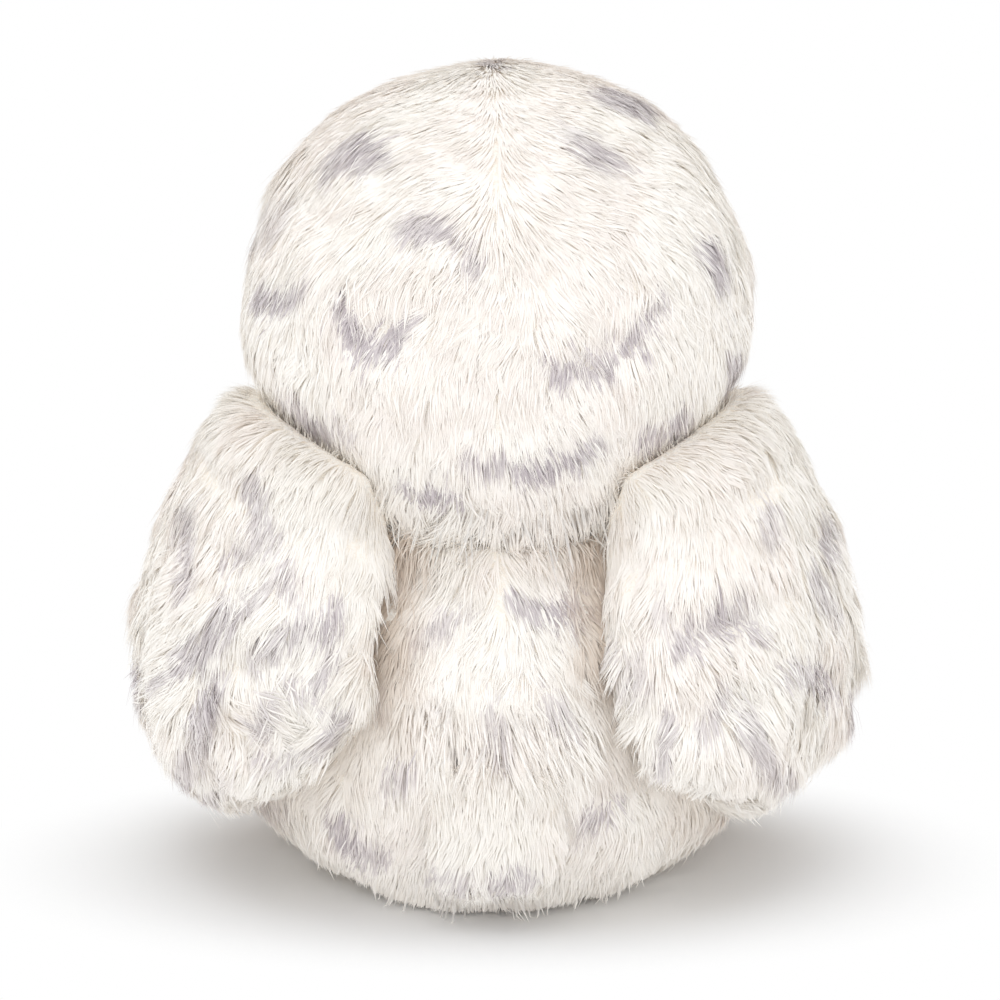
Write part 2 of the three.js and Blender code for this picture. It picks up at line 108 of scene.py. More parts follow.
def hashed(cells, seed):
    h = cells[:, 0] * 73856093 ^ cells[:, 1] * 19349663 ^ cells[:, 2] * 83492791 ^ seed * 40503
    h = (h ^ h >> 13) * 1274126177
    h ^= h >> 16
    return (h & 0xFFFF) / 32767.5 - 1


def noise(points, cell, seed):
    """Smooth noise from -1 to 1 whose features are about cell millimetres wide."""
    scaled = points / cell
    base = np.floor(scaled).astype(np.int64)
    part = scaled - base
    part = part * part * (3 - 2 * part)
    total = np.zeros(len(points))
    for corner in range(8):
        step = np.array([corner & 1, corner >> 1 & 1, corner >> 2 & 1])
        total += np.prod(np.where(step, part, 1 - part), axis=1) * hashed(base + step, seed)
    return total


def in_photo(points):
    """Pixel coordinates of points in the photograph, from its left and top edges."""
    away = points - EYE_POINT
    depth = -dot(away, BACKWARD)
    scale = LENS / SENSOR * IMAGE_SIDE / depth
    return IMAGE_SIDE / 2 - away[:, 0] * scale, IMAGE_SIDE / 2 - dot(away, UPWARD) * scale


# Materials


def socket(node, **values):
    for name, value in values.items():
        node.inputs[name.replace("_", " ")].default_value = value


def new_material(name, roughness, specular=0.25):
    material = bpy.data.materials.new(name)
    material.use_nodes = True
    tree = material.node_tree
    shader = tree.nodes["Principled BSDF"]
    socket(shader, Roughness=roughness, Specular_IOR_Level=specular)
    return material, tree, shader


def link(value, node, place=0):
    node.id_data.links.new(value, node.inputs[place])


def mix(tree, factor, first, second):
    """Colour mix; each of the three may be a socket, a number or an RGB."""
    node = tree.nodes.new("ShaderNodeMix")
    node.data_type = "RGBA"
    for place, value in ((0, factor), (6, first), (7, second)):
        if isinstance(value, bpy.types.NodeSocket):
            link(value, node, place)
        else:
            node.inputs[place].default_value = (*value, 1) if isinstance(value, tuple) else value
    return node.outputs[2]


def attribute(tree, name, output="Fac"):
    node = tree.nodes.new("ShaderNodeAttribute")
    node.attribute_name = name
    return node.outputs[output]


def combined(tree, operation, first, second):
    """The result of a Math node on two sockets."""
    node = tree.nodes.new("ShaderNodeMath")
    node.operation = operation
    link(first, node)
    link(second, node, 1)
    return node.outputs[0]


def coordinate(tree):
    return tree.nodes.new("ShaderNodeTexCoord").outputs["Object"]


def noise_value(tree, scale, detail=3.0, vector=None):
    node = tree.nodes.new("ShaderNodeTexNoise")
    socket(node, Scale=scale, Detail=detail)
    link(vector or coordinate(tree), node, "Vector")
    return node.outputs["Fac"]


def ramp(tree, value, low, high, to_low=0.0, to_high=1.0):
    node = tree.nodes.new("ShaderNodeMapRange")
    node.interpolation_type = "SMOOTHSTEP"
    link(value, node, "Value")
    socket(node, From_Min=low, From_Max=high, To_Min=to_low, To_Max=to_high)
    return node.outputs["Result"]


def bump(tree, shader, height, strength, distance):
    node = tree.nodes.new("ShaderNodeBump")
    socket(node, Strength=strength, Distance=distance)
    link(height, node, "Height")
    link(node.outputs["Normal"], shader, "Normal")


# Linear colours
SNOW = (0.980, 0.958, 0.926)
BLUSH = (0.977, 0.939, 0.907)
CREAM = (0.978, 0.953, 0.903)
WARM = (0.970, 0.930, 0.870)
# The tan below is painted shade, mixed into the pile where other forms lie close over it.
SHADE_TAN = (0.66, 0.55, 0.45)
MAUVE = (0.52, 0.465, 0.50)
BACKING = (0.94, 0.88, 0.80)
SOLE_CREAM = (0.86, 0.80, 0.70)
THREAD = (0.80, 0.73, 0.62)
AMBER = (0.78, 0.40, 0.035)
AMBER_DEEP = (0.36, 0.13, 0.01)
PUPIL = (0.004, 0.004, 0.005)
HORN = (0.028, 0.027, 0.03)
HORN_PALE = (0.10, 0.09, 0.085)
PELLET_WHITE = (0.78, 0.75, 0.69)
WASHER_WHITE = (0.80, 0.82, 0.83)


BROAD_TINTS, FINE_TINTS = 30.0, 260.0  # features per metre


def fur_material(name, tip, second_tip, root):
    """Pile: warmer at the root, as fur is, which also paints a little shade deep in the pile, with broad
    tints, fine lots of fibres and mauve flecks.
    The strands carry how far a place lies inside a fleck and how dark that fleck is, and how much tan
    painted shade lies on pile that other forms lie close over, with a faint tan towards the floor."""
    material, tree, shader = new_material(name, roughness=0.9, specular=0.12)
    broad = ramp(tree, noise_value(tree, BROAD_TINTS), 0.42, 0.6)
    fine = noise_value(tree, FINE_TINTS)
    colour = mix(tree, broad, tip, second_tip)
    colour = mix(tree, ramp(tree, fine, 0.35, 0.7, 0.0, 0.35), colour, CREAM)
    shade = ramp(tree, attribute(tree, "shade"), 0.0, 1.0, 0.0, 0.25)
    colour = mix(tree, shade, colour, root)
    # warmer at the root, as fur is; this also paints a little shade deep in the pile
    base = ramp(tree, attribute(tree, "along"), 0.0, 0.6, 0.5, 0.0)
    colour = mix(tree, base, colour, root)
    inside = ramp(tree, attribute(tree, "fleck"), -0.5, 0.5)
    amount = combined(tree, "MULTIPLY", inside, attribute(tree, "fleck_depth"))
    colour = mix(tree, amount, colour, MAUVE)
    # painted shade: tan mixed in where other forms lie close over the pile
    colour = mix(tree, attribute(tree, "crease"), colour, SHADE_TAN)
    link(colour, shader, "Base Color")
    return material


def backing_material(name, colour, second):
    """Knitted backing with the dense root of its pile, as it shows between the locks."""
    material, tree, shader = new_material(name, roughness=0.95, specular=0.1)
    fibres = noise_value(tree, 900.0, detail=2.0)
    mixed = mix(tree, ramp(tree, fibres, 0.35, 0.65), colour, second)
    link(mixed, shader, "Base Color")
    bump(tree, shader, fibres, 0.6, 0.0008)
    return material


def cloth_material(name, colour, second, pitch):
    """Plain weave: threads of one pitch, in metres, over and under each other."""
    material, tree, shader = new_material(name, roughness=0.9, specular=0.15)
    waves = []
    for direction in ("X", "Y"):
        wave = tree.nodes.new("ShaderNodeTexWave")
        wave.bands_direction = direction
        socket(wave, Scale=1 / pitch / 3, Distortion=0.4, Detail=1.0)
        link(coordinate(tree), wave, "Vector")
        waves.append(wave.outputs["Fac"])
    weave = combined(tree, "MAXIMUM", *waves)
    worn = ramp(tree, noise_value(tree, 60.0), 0.35, 0.7, 0.0, 0.5)
    colours = mix(tree, worn, mix(tree, weave, second, colour), second)
    link(colours, shader, "Base Color")
    bump(tree, shader, weave, 0.5, pitch * 0.4)
    return material


def eye_material():
    """Amber iris with fine spokes and a darker rim round a black pupil, under a clear dome."""
    material, tree, shader = new_material("eye_glaze", roughness=0.25, specular=0.5)
    socket(shader, Coat_Weight=1.0, Coat_Roughness=0.03)
    radial = attribute(tree, "radial")
    spokes = noise_value(tree, 9.0, detail=2.0, vector=attribute(tree, "spokes", "Vector"))
    iris = mix(tree, ramp(tree, spokes, 0.35, 0.65), AMBER_DEEP, AMBER)
    iris = mix(tree, ramp(tree, radial, 0.66, 0.9, 0.0, 0.85), iris, AMBER_DEEP)
    iris = mix(tree, ramp(tree, radial, 0.47, 0.5), PUPIL, iris)
    colour = mix(tree, ramp(tree, radial, 0.88, 0.92), iris, PUPIL)
    link(colour, shader, "Base Color")
    return material


def horn_material():
    """Dark moulded beak, paler at its root, with faint streaks."""
    material, tree, shader = new_material("beak_horn", roughness=0.35, specular=0.4)
    streaks = noise_value(tree, 420.0, detail=4.0)
    pale = ramp(tree, attribute(tree, "along"), 0.0, 0.5, 0.75, 0.0)
    colour = mix(tree, ramp(tree, streaks, 0.4, 0.75, 0.0, 0.5), HORN, HORN_PALE)
    link(mix(tree, pale, colour, HORN_PALE), shader, "Base Color")
    link(ramp(tree, streaks, 0.3, 0.7, 0.28, 0.48), shader, "Roughness")
    bump(tree, shader, streaks, 0.25, 0.0003)
    return material


def moulded_material(name, colour, shade):
    """Plain moulded plastic with a faint mottle."""
    material, tree, shader = new_material(name, roughness=0.5, specular=0.4)
    mottle = noise_value(tree, 500.0)
    mottled = mix(tree, ramp(tree, mottle, 0.4, 0.7, 0.0, 0.5), colour, shade)
    link(mottled, shader, "Base Color")
    bump(tree, shader, mottle, 0.2, 0.0002)
    return material


# Forms under the pile


def new_object(name, data, material=None):
    obj = bpy.data.objects.new(name, data)
    bpy.context.scene.collection.objects.link(obj)
    if material:
        data.materials.clear()
        data.materials.append(material)
    return obj


def place_piece(name, mesh, material, body, slot, *nodes):
    """One piece of the visual model, which stands for the nodes that it replaces."""
    obj = new_object(name, mesh, material)
    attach(obj, body)
    if nodes:
        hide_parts(*nodes)
    return obj


def read(items, field, width, kind=np.float64):
    """A field of all the items, in rows of width numbers."""
    flat = np.empty(len(items) * width, kind)
    items.foreach_get(field, flat)
    return flat.reshape(-1, width)


def points_of(mesh):
    return read(mesh.vertices, "co", 3) / MM


def normals_of(mesh):
    return read(mesh.vertex_normals, "vector", 3)


def edges_of(mesh):
    return read(mesh.edges, "vertices", 2, np.int32)


def put_points(mesh, points):
    mesh.vertices.foreach_set("co", (points * MM).ravel())
    mesh.update()


def triangles_of(mesh):
    mesh.calc_loop_triangles()
    return read(mesh.loop_triangles, "vertices", 3, np.int32)


def shade_smooth(mesh):
    mesh.polygons.foreach_set("use_smooth", [True] * len(mesh.polygons))


def add_values(mesh, title, numbers, domain="POINT"):
    """An attribute of numbers, or of vectors where they come in rows."""
    kind, field = ("FLOAT_VECTOR", "vector") if np.ndim(numbers) == 2 else ("FLOAT", "value")
    layer = mesh.attributes.new(title, kind, domain)
    layer.data.foreach_set(field, np.ravel(numbers).astype(np.float32))


def keep_largest_island(mesh):
    work = bmesh.new()
    work.from_mesh(mesh)
    left, islands = set(work.verts), []
    while left:
        island, front = set(), [left.pop()]
        while front:
            vert = front.pop()
            island.add(vert)
            for edge in vert.link_edges:
                other = edge.other_vert(vert)
                if other in left:
                    left.remove(other)
                    front.append(other)
        islands.append(island)
    largest = max(islands, key=lambda i: max(v.co.z for v in i) - min(v.co.z for v in i))
    bmesh.ops.delete(work, geom=[v for i in islands if i is not largest for v in i], context="VERTS")
    work.to_mesh(mesh)
    work.free()


def smoothed(mesh, rounds):
    """Moves each vertex halfway to the middle of its neighbours, rounds times."""
    a, b = edges_of(mesh).T
    points = points_of(mesh)
    count = np.bincount(np.concatenate([a, b]), minlength=len(points))[:, None]
    for _ in range(rounds):
        total = np.zeros_like(points)
        np.add.at(total, a, points[b])
        np.add.at(total, b, points[a])
        points = (points + total / count) / 2
    put_points(mesh, points)


def under_form(name, nodes, inset=0.4, cell=2.2, rounds=5, rumple=None):
    """One closed skin over the named CAD nodes, inset millimetres inside their outer surface."""
    work = bmesh.new()
    for node in nodes:
        work.from_mesh(frame["nodes"][node].data)
    mesh = bpy.data.meshes.new(name)
    work.to_mesh(mesh)
    work.free()
    rough = new_object(name + "_rough", mesh)
    remesh = rough.modifiers.new("voxels", "REMESH")
    remesh.mode, remesh.voxel_size = "VOXEL", cell * MM
    skin = bpy.data.meshes.new_from_object(rough.evaluated_get(bpy.context.evaluated_depsgraph_get()))
    bpy.data.objects.remove(rough)
    skin.name = name
    keep_largest_island(skin)
    smoothed(skin, rounds)
    points, normals = points_of(skin), normals_of(skin)
    points -= normals * inset
    if rumple:
        points += rumple(points, normals)
    put_points(skin, points)
    shade_smooth(skin)
    return skin


# Flecks: strokes in pixels of the photograph, each (depth, [(u, v, radius), ...])

HEAD_MARKS = [
    (0.65, [(331, 170, 8), (346, 152, 10), (360, 160, 9)]),
    (0.75, [(366, 148, 9), (382, 148, 9), (388, 160, 7)]),
    (0.55, [(409, 228, 9), (440, 228, 10), (461, 238, 8), (476, 270, 8)]),
    (0.60, [(603, 97, 8), (625, 103, 8), (646, 110, 5)]),
    (0.55, [(580, 150, 9), (603, 157, 10), (622, 166, 6)]),
    (0.30, [(560, 130, 6), (585, 137, 5)]),
    (0.70, [(705, 243, 5), (714, 258, 7), (721, 275, 10)]),
    (0.75, [(259, 300, 8), (272, 306, 9), (286, 299, 7), (302, 293, 4)]),
    (0.85, [(340, 302, 6), (350, 326, 9), (370, 345, 10), (386, 350, 9), (400, 330, 7), (409, 322, 4)]),
    (0.75, [(551, 362, 8), (575, 366, 9), (601, 367, 10), (626, 350, 9), (645, 330, 7), (661, 298, 5)]),
    (0.75, [(468, 456, 7), (490, 467, 9), (522, 471, 9), (552, 467, 8), (580, 456, 6), (600, 438, 4)]),
    (0.80, [(645, 446, 7), (664, 440, 8), (680, 426, 6), (691, 410, 3)]),
    (0.75, [(285, 398, 4), (300, 415, 6), (320, 431, 8), (343, 438, 6)]),
    (0.80, [(402, 490, 5), (426, 496, 7), (452, 500, 7)]),
    (0.60, [(735, 354, 6), (738, 375, 7), (729, 393, 5)]),
    (0.45, [(249, 243, 7)]),
    (0.35, [(492, 62, 7)]),
    (0.20, [(262, 232, 12), (282, 205, 10)]),
]
BACK_MARKS = [
    (0.75, [(388, 570, 8), (396, 585, 7)]),
    (0.75, [(520, 606, 8), (545, 612, 10), (575, 612, 10), (600, 600, 7)]),
    (0.50, [(415, 640, 7), (440, 627, 7), (470, 614, 5)]),
    (0.40, [(482, 700, 6), (495, 730, 7), (505, 765, 5)]),
    (0.45, [(548, 690, 7), (562, 715, 8), (572, 735, 5)]),
    (0.40, [(372, 676, 4), (380, 700, 6), (384, 717, 5)]),
    (0.60, [(388, 775, 9), (412, 772, 8)]),
    (0.75, [(328, 815, 5), (345, 835, 8), (365, 852, 10), (382, 858, 8)]),
    (0.70, [(578, 832, 6), (598, 818, 9), (618, 800, 7)]),
    (0.55, [(432, 876, 6), (465, 888, 5)]),
    (0.55, [(495, 886, 5), (528, 880, 6)]),
    (0.55, [(262, 806, 6), (278, 812, 6)]),
]
LEFT_WING_MARKS = [
    (0.50, [(249, 482, 6), (258, 505, 9), (261, 535, 7)]),
    (0.65, [(222, 566, 3), (236, 556, 4), (251, 550, 3)]),
    (0.50, [(276, 538, 3), (268, 552, 4)]),
    (0.50, [(280, 572, 5), (290, 595, 6)]),
    (0.35, [(278, 578, 4), (263, 592, 4)]),
    (0.60, [(180, 514, 5), (187, 545, 6), (188, 572, 4)]),
    (0.55, [(184, 588, 4), (192, 582, 3)]),
    (0.55, [(250, 603, 5), (228, 614, 8), (216, 632, 9)]),
    (0.60, [(214, 640, 8), (198, 646, 7), (176, 656, 5)]),
    (0.55, [(153, 684, 4), (176, 673, 6), (202, 659, 4)]),
    (0.55, [(314, 624, 7), (292, 634, 9), (266, 653, 8), (246, 668, 5)]),
    (0.60, [(343, 608, 4), (332, 624, 8), (327, 642, 5)]),
    (0.50, [(333, 652, 3), (337, 668, 3)]),
    (0.60, [(286, 694, 6), (304, 683, 9), (328, 677, 5)]),
    (0.65, [(217, 688, 6), (206, 706, 8), (196, 722, 6)]),
    (0.45, [(207, 722, 8), (200, 748, 11), (184, 768, 8)]),
    (0.55, [(180, 778, 6), (175, 797, 5)]),
    (0.50, [(280, 698, 5), (264, 708, 7), (259, 730, 8)]),
    (0.55, [(342, 716, 5), (331, 732, 8), (321, 750, 5)]),
    (0.55, [(256, 765, 4), (276, 760, 6), (299, 758, 6)]),
    (0.40, [(222, 784, 4), (236, 778, 4)]),
    (0.40, [(209, 798, 4), (205, 808, 4)]),
    (0.60, [(133, 674, 5), (129, 694, 4)]),
    (0.60, [(137, 706, 4), (130, 717, 4)]),
]
RIGHT_WING_MARKS = [
    (0.45, [(764, 504, 4), (776, 515, 7), (770, 542, 7)]),
    (0.55, [(827, 522, 5), (832, 545, 7), (831, 562, 5)]),
    (0.45, [(815, 568, 5), (821, 598, 8), (833, 613, 6)]),
    (0.45, [(747, 588, 4), (732, 597, 4)]),
    (0.70, [(724, 601, 3), (708, 624, 4)]),
    (0.75, [(700, 614, 4), (689, 636, 7), (678, 662, 6)]),
    (0.55, [(707, 630, 6), (735, 624, 7), (766, 637, 4)]),
    (0.60, [(782, 674, 4), (804, 674, 7), (829, 693, 4)]),
    (0.30, [(659, 602, 6), (672, 630, 6)]),
    (0.40, [(594, 665, 5), (614, 656, 8), (638, 661, 5)]),
    (0.35, [(625, 688, 7), (642, 683, 6)]),
    (0.55, [(673, 714, 6), (668, 742, 7), (660, 773, 6)]),
    (0.50, [(724, 690, 4), (718, 712, 7), (700, 736, 6)]),
    (0.50, [(750, 714, 8), (758, 745, 11), (774, 776, 8)]),
    (0.40, [(782, 784, 8), (802, 793, 8), (818, 786, 5)]),
    (0.50, [(582, 684, 6), (574, 706, 6), (574, 722, 5)]),
    (0.35, [(593, 712, 7), (602, 728, 5)]),
    (0.60, [(856, 700, 4), (858, 738, 5)]),
]

FLECK_EDGE = 6.0  # pixels of soft edge
FLECK_GROWTH = 2.5  # pixels that the pile's spread adds round each stroke
FLECK_REACH = 40  # pixels round a stroke within which it is looked at
OTHER_DEPTH = 0.55  # depth of the scattered flecks
FACE_LINE, FACE_LINE_IN = 1.4, 1.5  # half width of the line round the face, and how far it lies inside
EYE_RING, EYE_RING_RADIUS = 1.1, 9.5  # half width and radius of the ring round each eye
CLEAR = -3.0  # the value well outside every fleck


def stroke_distance(u, v, stroke):
    """Distance in pixels from each place to a stroke's edge, negative inside it."""
    nearest = np.full(len(u), 1e9)
    ends = stroke if len(stroke) > 1 else stroke * 2
    for (u0, v0, r0), (u1, v1, r1) in zip(ends, ends[1:]):
        du, dv = u1 - u0, v1 - v0
        length = du * du + dv * dv
        t = np.clip(((u - u0) * du + (v - v0) * dv) / length, 0, 1) if length else np.zeros(len(u))
        away = np.hypot(u - u0 - t * du, v - v0 - t * dv) - (r0 + t * (r1 - r0))
        nearest = np.minimum(nearest, away)
    return nearest - FLECK_GROWTH


def scattered(points):
    """Soft small crescents, wider than high, as on the sides that the photograph shows."""
    stretched = points * np.array([1, 1, 1.7])
    return 6 * (noise(stretched, 13, 8) + 0.4 * noise(stretched, 5, 9) - 0.62)


def flecked(marks):
    """Flecks of the long fur: the strokes where the photograph shows them, scattered ones elsewhere.
    Each value says how far inside a fleck a place lies, in soft edges, and how dark that fleck is."""
    def flecks(points, facing):
        u, v = in_photo(points)
        ragged = 2.2 * noise(points, 2.2, 3) + 4.0 * noise(points, 5.5, 4)
        patchy = 0.95 + 0.3 * noise(points, 8, 6)
        inside = np.full(len(points), CLEAR)
        depth = np.zeros(len(points))
        for strength, stroke in marks:
            left, top, _ = np.min(stroke, axis=0) - FLECK_REACH
            right, low, _ = np.max(stroke, axis=0) + FLECK_REACH
            near = np.flatnonzero((u > left) & (u < right) & (v > top) & (v < low) & (facing > 0))
            here = -(stroke_distance(u[near], v[near], stroke) + ragged[near]) / FLECK_EDGE
            better = here > inside[near]
            inside[near[better]] = here[better]
            depth[near[better]] = strength * patchy[near[better]]
        unseen = smoothstep(0.05, -0.1, facing)
        other = np.where(unseen > 0, scattered(points) - 3 * (1 - unseen), CLEAR)
        better = other > inside
        inside = np.where(better, other, inside)
        return inside.clip(CLEAR, -CLEAR), np.where(better, OTHER_DEPTH * patchy, depth)
    return flecks


def face_flecks(points, facing):
    """A broken mauve line round the face, and a faint ring round each eye."""
    ragged = noise(points, 3, 12)
    rim = FACE_LINE - np.abs(inside_face(points) - FACE_LINE_IN) + 1.6 * noise(points, 9, 13)
    ring = EYE_RING - np.abs(eye_distance(points) - EYE_RING_RADIUS)
    inside = np.maximum(rim, ring) + ragged
    return inside.clip(CLEAR, -CLEAR), np.where(rim > ring, 0.5, 0.3)


def belly_flecks(points, facing):
    return (scattered(points) - 0.8).clip(CLEAR, -CLEAR), np.full(len(points), 0.35)


def no_flecks(points, facing):
    return np.full(len(points), CLEAR), np.zeros(len(points))


# Pile


def spread_roots(form, density, rng):
    """Roots over a form's triangles, of which density gives the number per square millimetre."""
    mesh = form.data
    points, normals, corners = points_of(mesh), normals_of(mesh), triangles_of(mesh)
    a, b, c = (points[corners[:, k]] for k in range(3))
    area = np.linalg.norm(np.cross(b - a, c - a), axis=1) / 2
    middle_normals = unit(normals[corners].sum(axis=1))
    share = np.cumsum(area * density((a + b + c) / 3, middle_normals)) * DENSITY_SCALE
    count = int(share[-1])
    picked = np.searchsorted(share, (np.arange(count) + rng.random(count)) / count * share[-1])
    picked = np.minimum(picked, len(area) - 1)
    s, t = rng.random(count), rng.random(count)
    over = s + t > 1
    s[over], t[over] = 1 - s[over], 1 - t[over]
    weights = np.stack([1 - s - t, s, t], axis=1)[:, :, None]
    roots = (points[corners[picked]] * weights).sum(axis=1)
    return roots, unit((normals[corners[picked]] * weights).sum(axis=1))


def nearest_of(places, centres):
    tree = KDTree(len(centres))
    for index, centre in enumerate(centres):
        tree.insert(centre, index)
    tree.balance()
    return np.array([tree.find(place)[1] for place in places])


def surface_tree(form):
    mesh = form.data
    points = [v.co / MM for v in mesh.vertices]
    return BVHTree.FromPolygons(points, [tuple(p.vertices) for p in mesh.polygons])


MOST_ROOM = 30.0


def room_over(points, normals, trees):
    """How far each place is from the nearest of the other forms straight ahead of it."""
    room = np.full(len(points), MOST_ROOM)
    for tree in trees:
        for index, (point, normal) in enumerate(zip(points, normals)):
            hit = tree.ray_cast(Vector(point), Vector(normal), MOST_ROOM)[3]
            if hit is not None and hit < room[index]:
                room[index] = hit
    return room


def nearness(points, tree, reach):
    """From 1 where a place touches a form to 0 where it is reach millimetres away."""
    found = [tree.find_nearest(Vector(point), reach)[3] for point in points]
    away = np.array([reach if distance is None else distance for distance in found])
    return smoothstep(reach, 0.1 * reach, away)


RING_SHARES = np.array([0.0, 0.5, 1.0])
RING_WIDTHS = np.array([0.85, 1.0])
RIDGE_SHARE = 0.2  # thickness of a strand against its width
LOCK_STRANDS, TUFT_STRANDS = 12, 140
FLOOR_FADE = 2.0  # the pile flattens in the last millimetres over the floor
FLECK_AT, FLECK_PULL = 0.5, 0.45
WHITE_IN_FLECKS = 0.12  # share of the strands that stay white inside a fleck
# How much strands vary: from lock to lock, from tuft to tuft, and one by one
TURN_SPREAD = 0.11, 0.2, 0.03
LENGTH_SPREAD = 0.1, 0.1, 0.1
RISE_SPREAD = 0.08, 0.2, 0.05
CURL_SPREAD = 0.13, 0.2, 0.04
FLECK_AHEAD, FLECK_ASIDE = (1.1, 0.5, 0.9), (0.5, 0.3, 0.3)
LEAST_GATHER, MOST_GATHER = 0.05, 0.35  # how far the strands of a lock run together
SUNK = 0.35  # millimetres by which a strand's root lies inside the form
ROLL = 0.13
STRAYS, STRAY_RISE = 0.025, 2.0  # share of strands that stand up out of the pile, and how much more


def over_floor(points):
    low = FLOOR_FADE * np.exp(np.minimum(points[..., 2] - FLOOR_FADE, 0) / FLOOR_FADE)
    points[..., 2] = np.where(points[..., 2] < FLOOR_FADE, low + 0.05, points[..., 2] + 0.05)
    return points


def grow(name, body, slot, material, roots, normals, flow, own, flecks, rng):
    """A pile of closed, flattened, tapering strands that run together in locks, as one mesh.
    own holds a value for each strand under each of coat_of's names."""
    count = len(roots)
    locks = roots[rng.choice(count, max(1, count // LOCK_STRANDS), replace=False)]
    tufts = roots[rng.choice(count, max(1, count // TUFT_STRANDS), replace=False)]
    lock_of, tuft_of = nearest_of(roots, locks), nearest_of(roots, tufts)

    def varied(spread_lock, spread_tuft, spread_own):
        spread = rng.normal(0, spread_lock, len(locks))[lock_of]
        spread += rng.normal(0, spread_tuft, len(tufts))[tuft_of]
        return spread + rng.normal(0, spread_own, count)

    turn = varied(*TURN_SPREAD) * own["wild"] + noise(roots, 20, 5) * own["swirl"]
    length = own["length"] * (1 + varied(*LENGTH_SPREAD) * own["ragged"]).clip(0.45, 1.5)
    rise = own["rise"] * (1 + varied(*RISE_SPREAD) * own["wild"]).clip(0.35, 1.8)
    rise *= np.where(rng.random(count) < STRAYS, STRAY_RISE, 1)
    curl = varied(*CURL_SPREAD) * own["wild"]
    ahead = along_surface(flow, normals)
    aside = np.cross(normals, ahead)
    heading = ahead * np.cos(turn)[:, None] + aside * np.sin(turn)[:, None]
    sideways = np.cross(normals, heading)
    to_lock = locks[lock_of] - roots
    to_lock -= normals * dot(to_lock, normals)[:, None]
    gather = rng.uniform(LEAST_GATHER, MOST_GATHER, len(locks))[lock_of]

    def curve(t):
        out = rise * (1 - (1 - t) ** 2.2) - SUNK * (1 - t) - own["hug"] * (length * t) ** 2 / 2
        return (
            roots
            + heading * (length * t)[:, None]
            + sideways * (curl * length * 0.4 * t * t)[:, None]
            + normals * out[:, None]
            + to_lock * (gather * t**1.3)[:, None]
        )

    roll = rng.normal(0, ROLL, count)
    half_width = own["width"] * rng.normal(1, 0.15, count).clip(0.6, 1.4) / 2
    rings, shading = [], []
    for share, wide in zip(RING_SHARES[:-1], RING_WIDTHS):
        centre = curve(share)
        tangent = unit(curve(share + 0.05) - centre)
        across = unit(np.cross(tangent, normals))
        up = np.cross(across, tangent)
        across, up = (
            across * np.cos(roll)[:, None] + up * np.sin(roll)[:, None],
            up * np.cos(roll)[:, None] - across * np.sin(roll)[:, None],
        )
        reach = (half_width * wide)[:, None]
        ridge = centre - up * reach * 2 * RIDGE_SHARE
        rings += [centre + across * reach, centre - across * reach, ridge]
        shading += [
            normals + 0.05 * across,
            normals - 0.05 * across,
            -across - 0.5 * up,
            across - 0.5 * up,
        ]
    shading += [normals, normals, -across - 0.5 * up, across - 0.5 * up, -heading]
    points = over_floor(np.stack([*rings, curve(1.0)], axis=1))
    drawn_out = heading * varied(*FLECK_AHEAD)[:, None] + sideways * varied(*FLECK_ASIDE)[:, None]
    centre = (curve(FLECK_AT) + drawn_out)[:, None, :]
    fleck_places = points + drawn_out[:, None, :] + FLECK_PULL * (centre - points)
    facing = np.repeat(dot(normals, BACKWARD), points.shape[1])
    fleck, fleck_depth = flecks(fleck_places.reshape(-1, 3), facing)
    marked = rng.random(count) > WHITE_IN_FLECKS
    per = points.shape[1]
    fleck_depth = fleck_depth.clip(0, 1) * np.repeat(marked * rng.uniform(0.8, 1.1, count), per)
    values = {
        "along": np.tile([*np.repeat(RING_SHARES[:-1], 3), 1.0], count),
        "shade": np.repeat(rng.random(count), per),
        "crease": np.repeat(own["crease"], per),
        "fleck": fleck,
        "fleck_depth": fleck_depth,
    }
    mesh = strand_mesh(name, points, unit(np.stack(shading, axis=1)), values)
    place_piece(name, mesh, material, body, slot)


TOP_PLUS, TOP_MINUS, LOWER_MINUS, LOWER_PLUS = range(4)


def strand_faces():
    """Faces of one strand, with each corner's place in its cell of the UV map and its shading normal."""
    rings = len(RING_SHARES) - 1
    end_normal = 4 * (rings + 1)
    faces, places, shades = [(0, 1, 2)], [(0.02, 0.01), (0.5, 0.01), (0.26, 0.07)], [end_normal] * 3
    columns = [
        (0, 1, 0.02, 0.48, TOP_PLUS, TOP_MINUS),
        (1, 2, 0.52, 0.72, LOWER_MINUS, LOWER_MINUS),
        (2, 0, 0.76, 0.96, LOWER_PLUS, LOWER_PLUS),
    ]
    rows = 0.1 + 0.88 * RING_SHARES
    for ring in range(rings):
        low, high = rows[ring], rows[ring + 1]
        here, there = 4 * ring, 4 * ring + 4
        for a, b, left, right, at_a, at_b in columns:
            if ring < rings - 1:
                faces.append((3 * ring + b, 3 * ring + a, 3 * ring + 3 + a, 3 * ring + 3 + b))
                places += [(right, low), (left, low), (left, high), (right, high)]
                shades += [here + at_b, here + at_a, there + at_a, there + at_b]
            else:
                faces.append((3 * ring + b, 3 * ring + a, 3 * rings))
                places += [(right, low), (left, low), ((left + right) / 2, high)]
                shades += [here + at_b, here + at_a, there + at_a]
    return faces, np.array(places), np.array(shades)


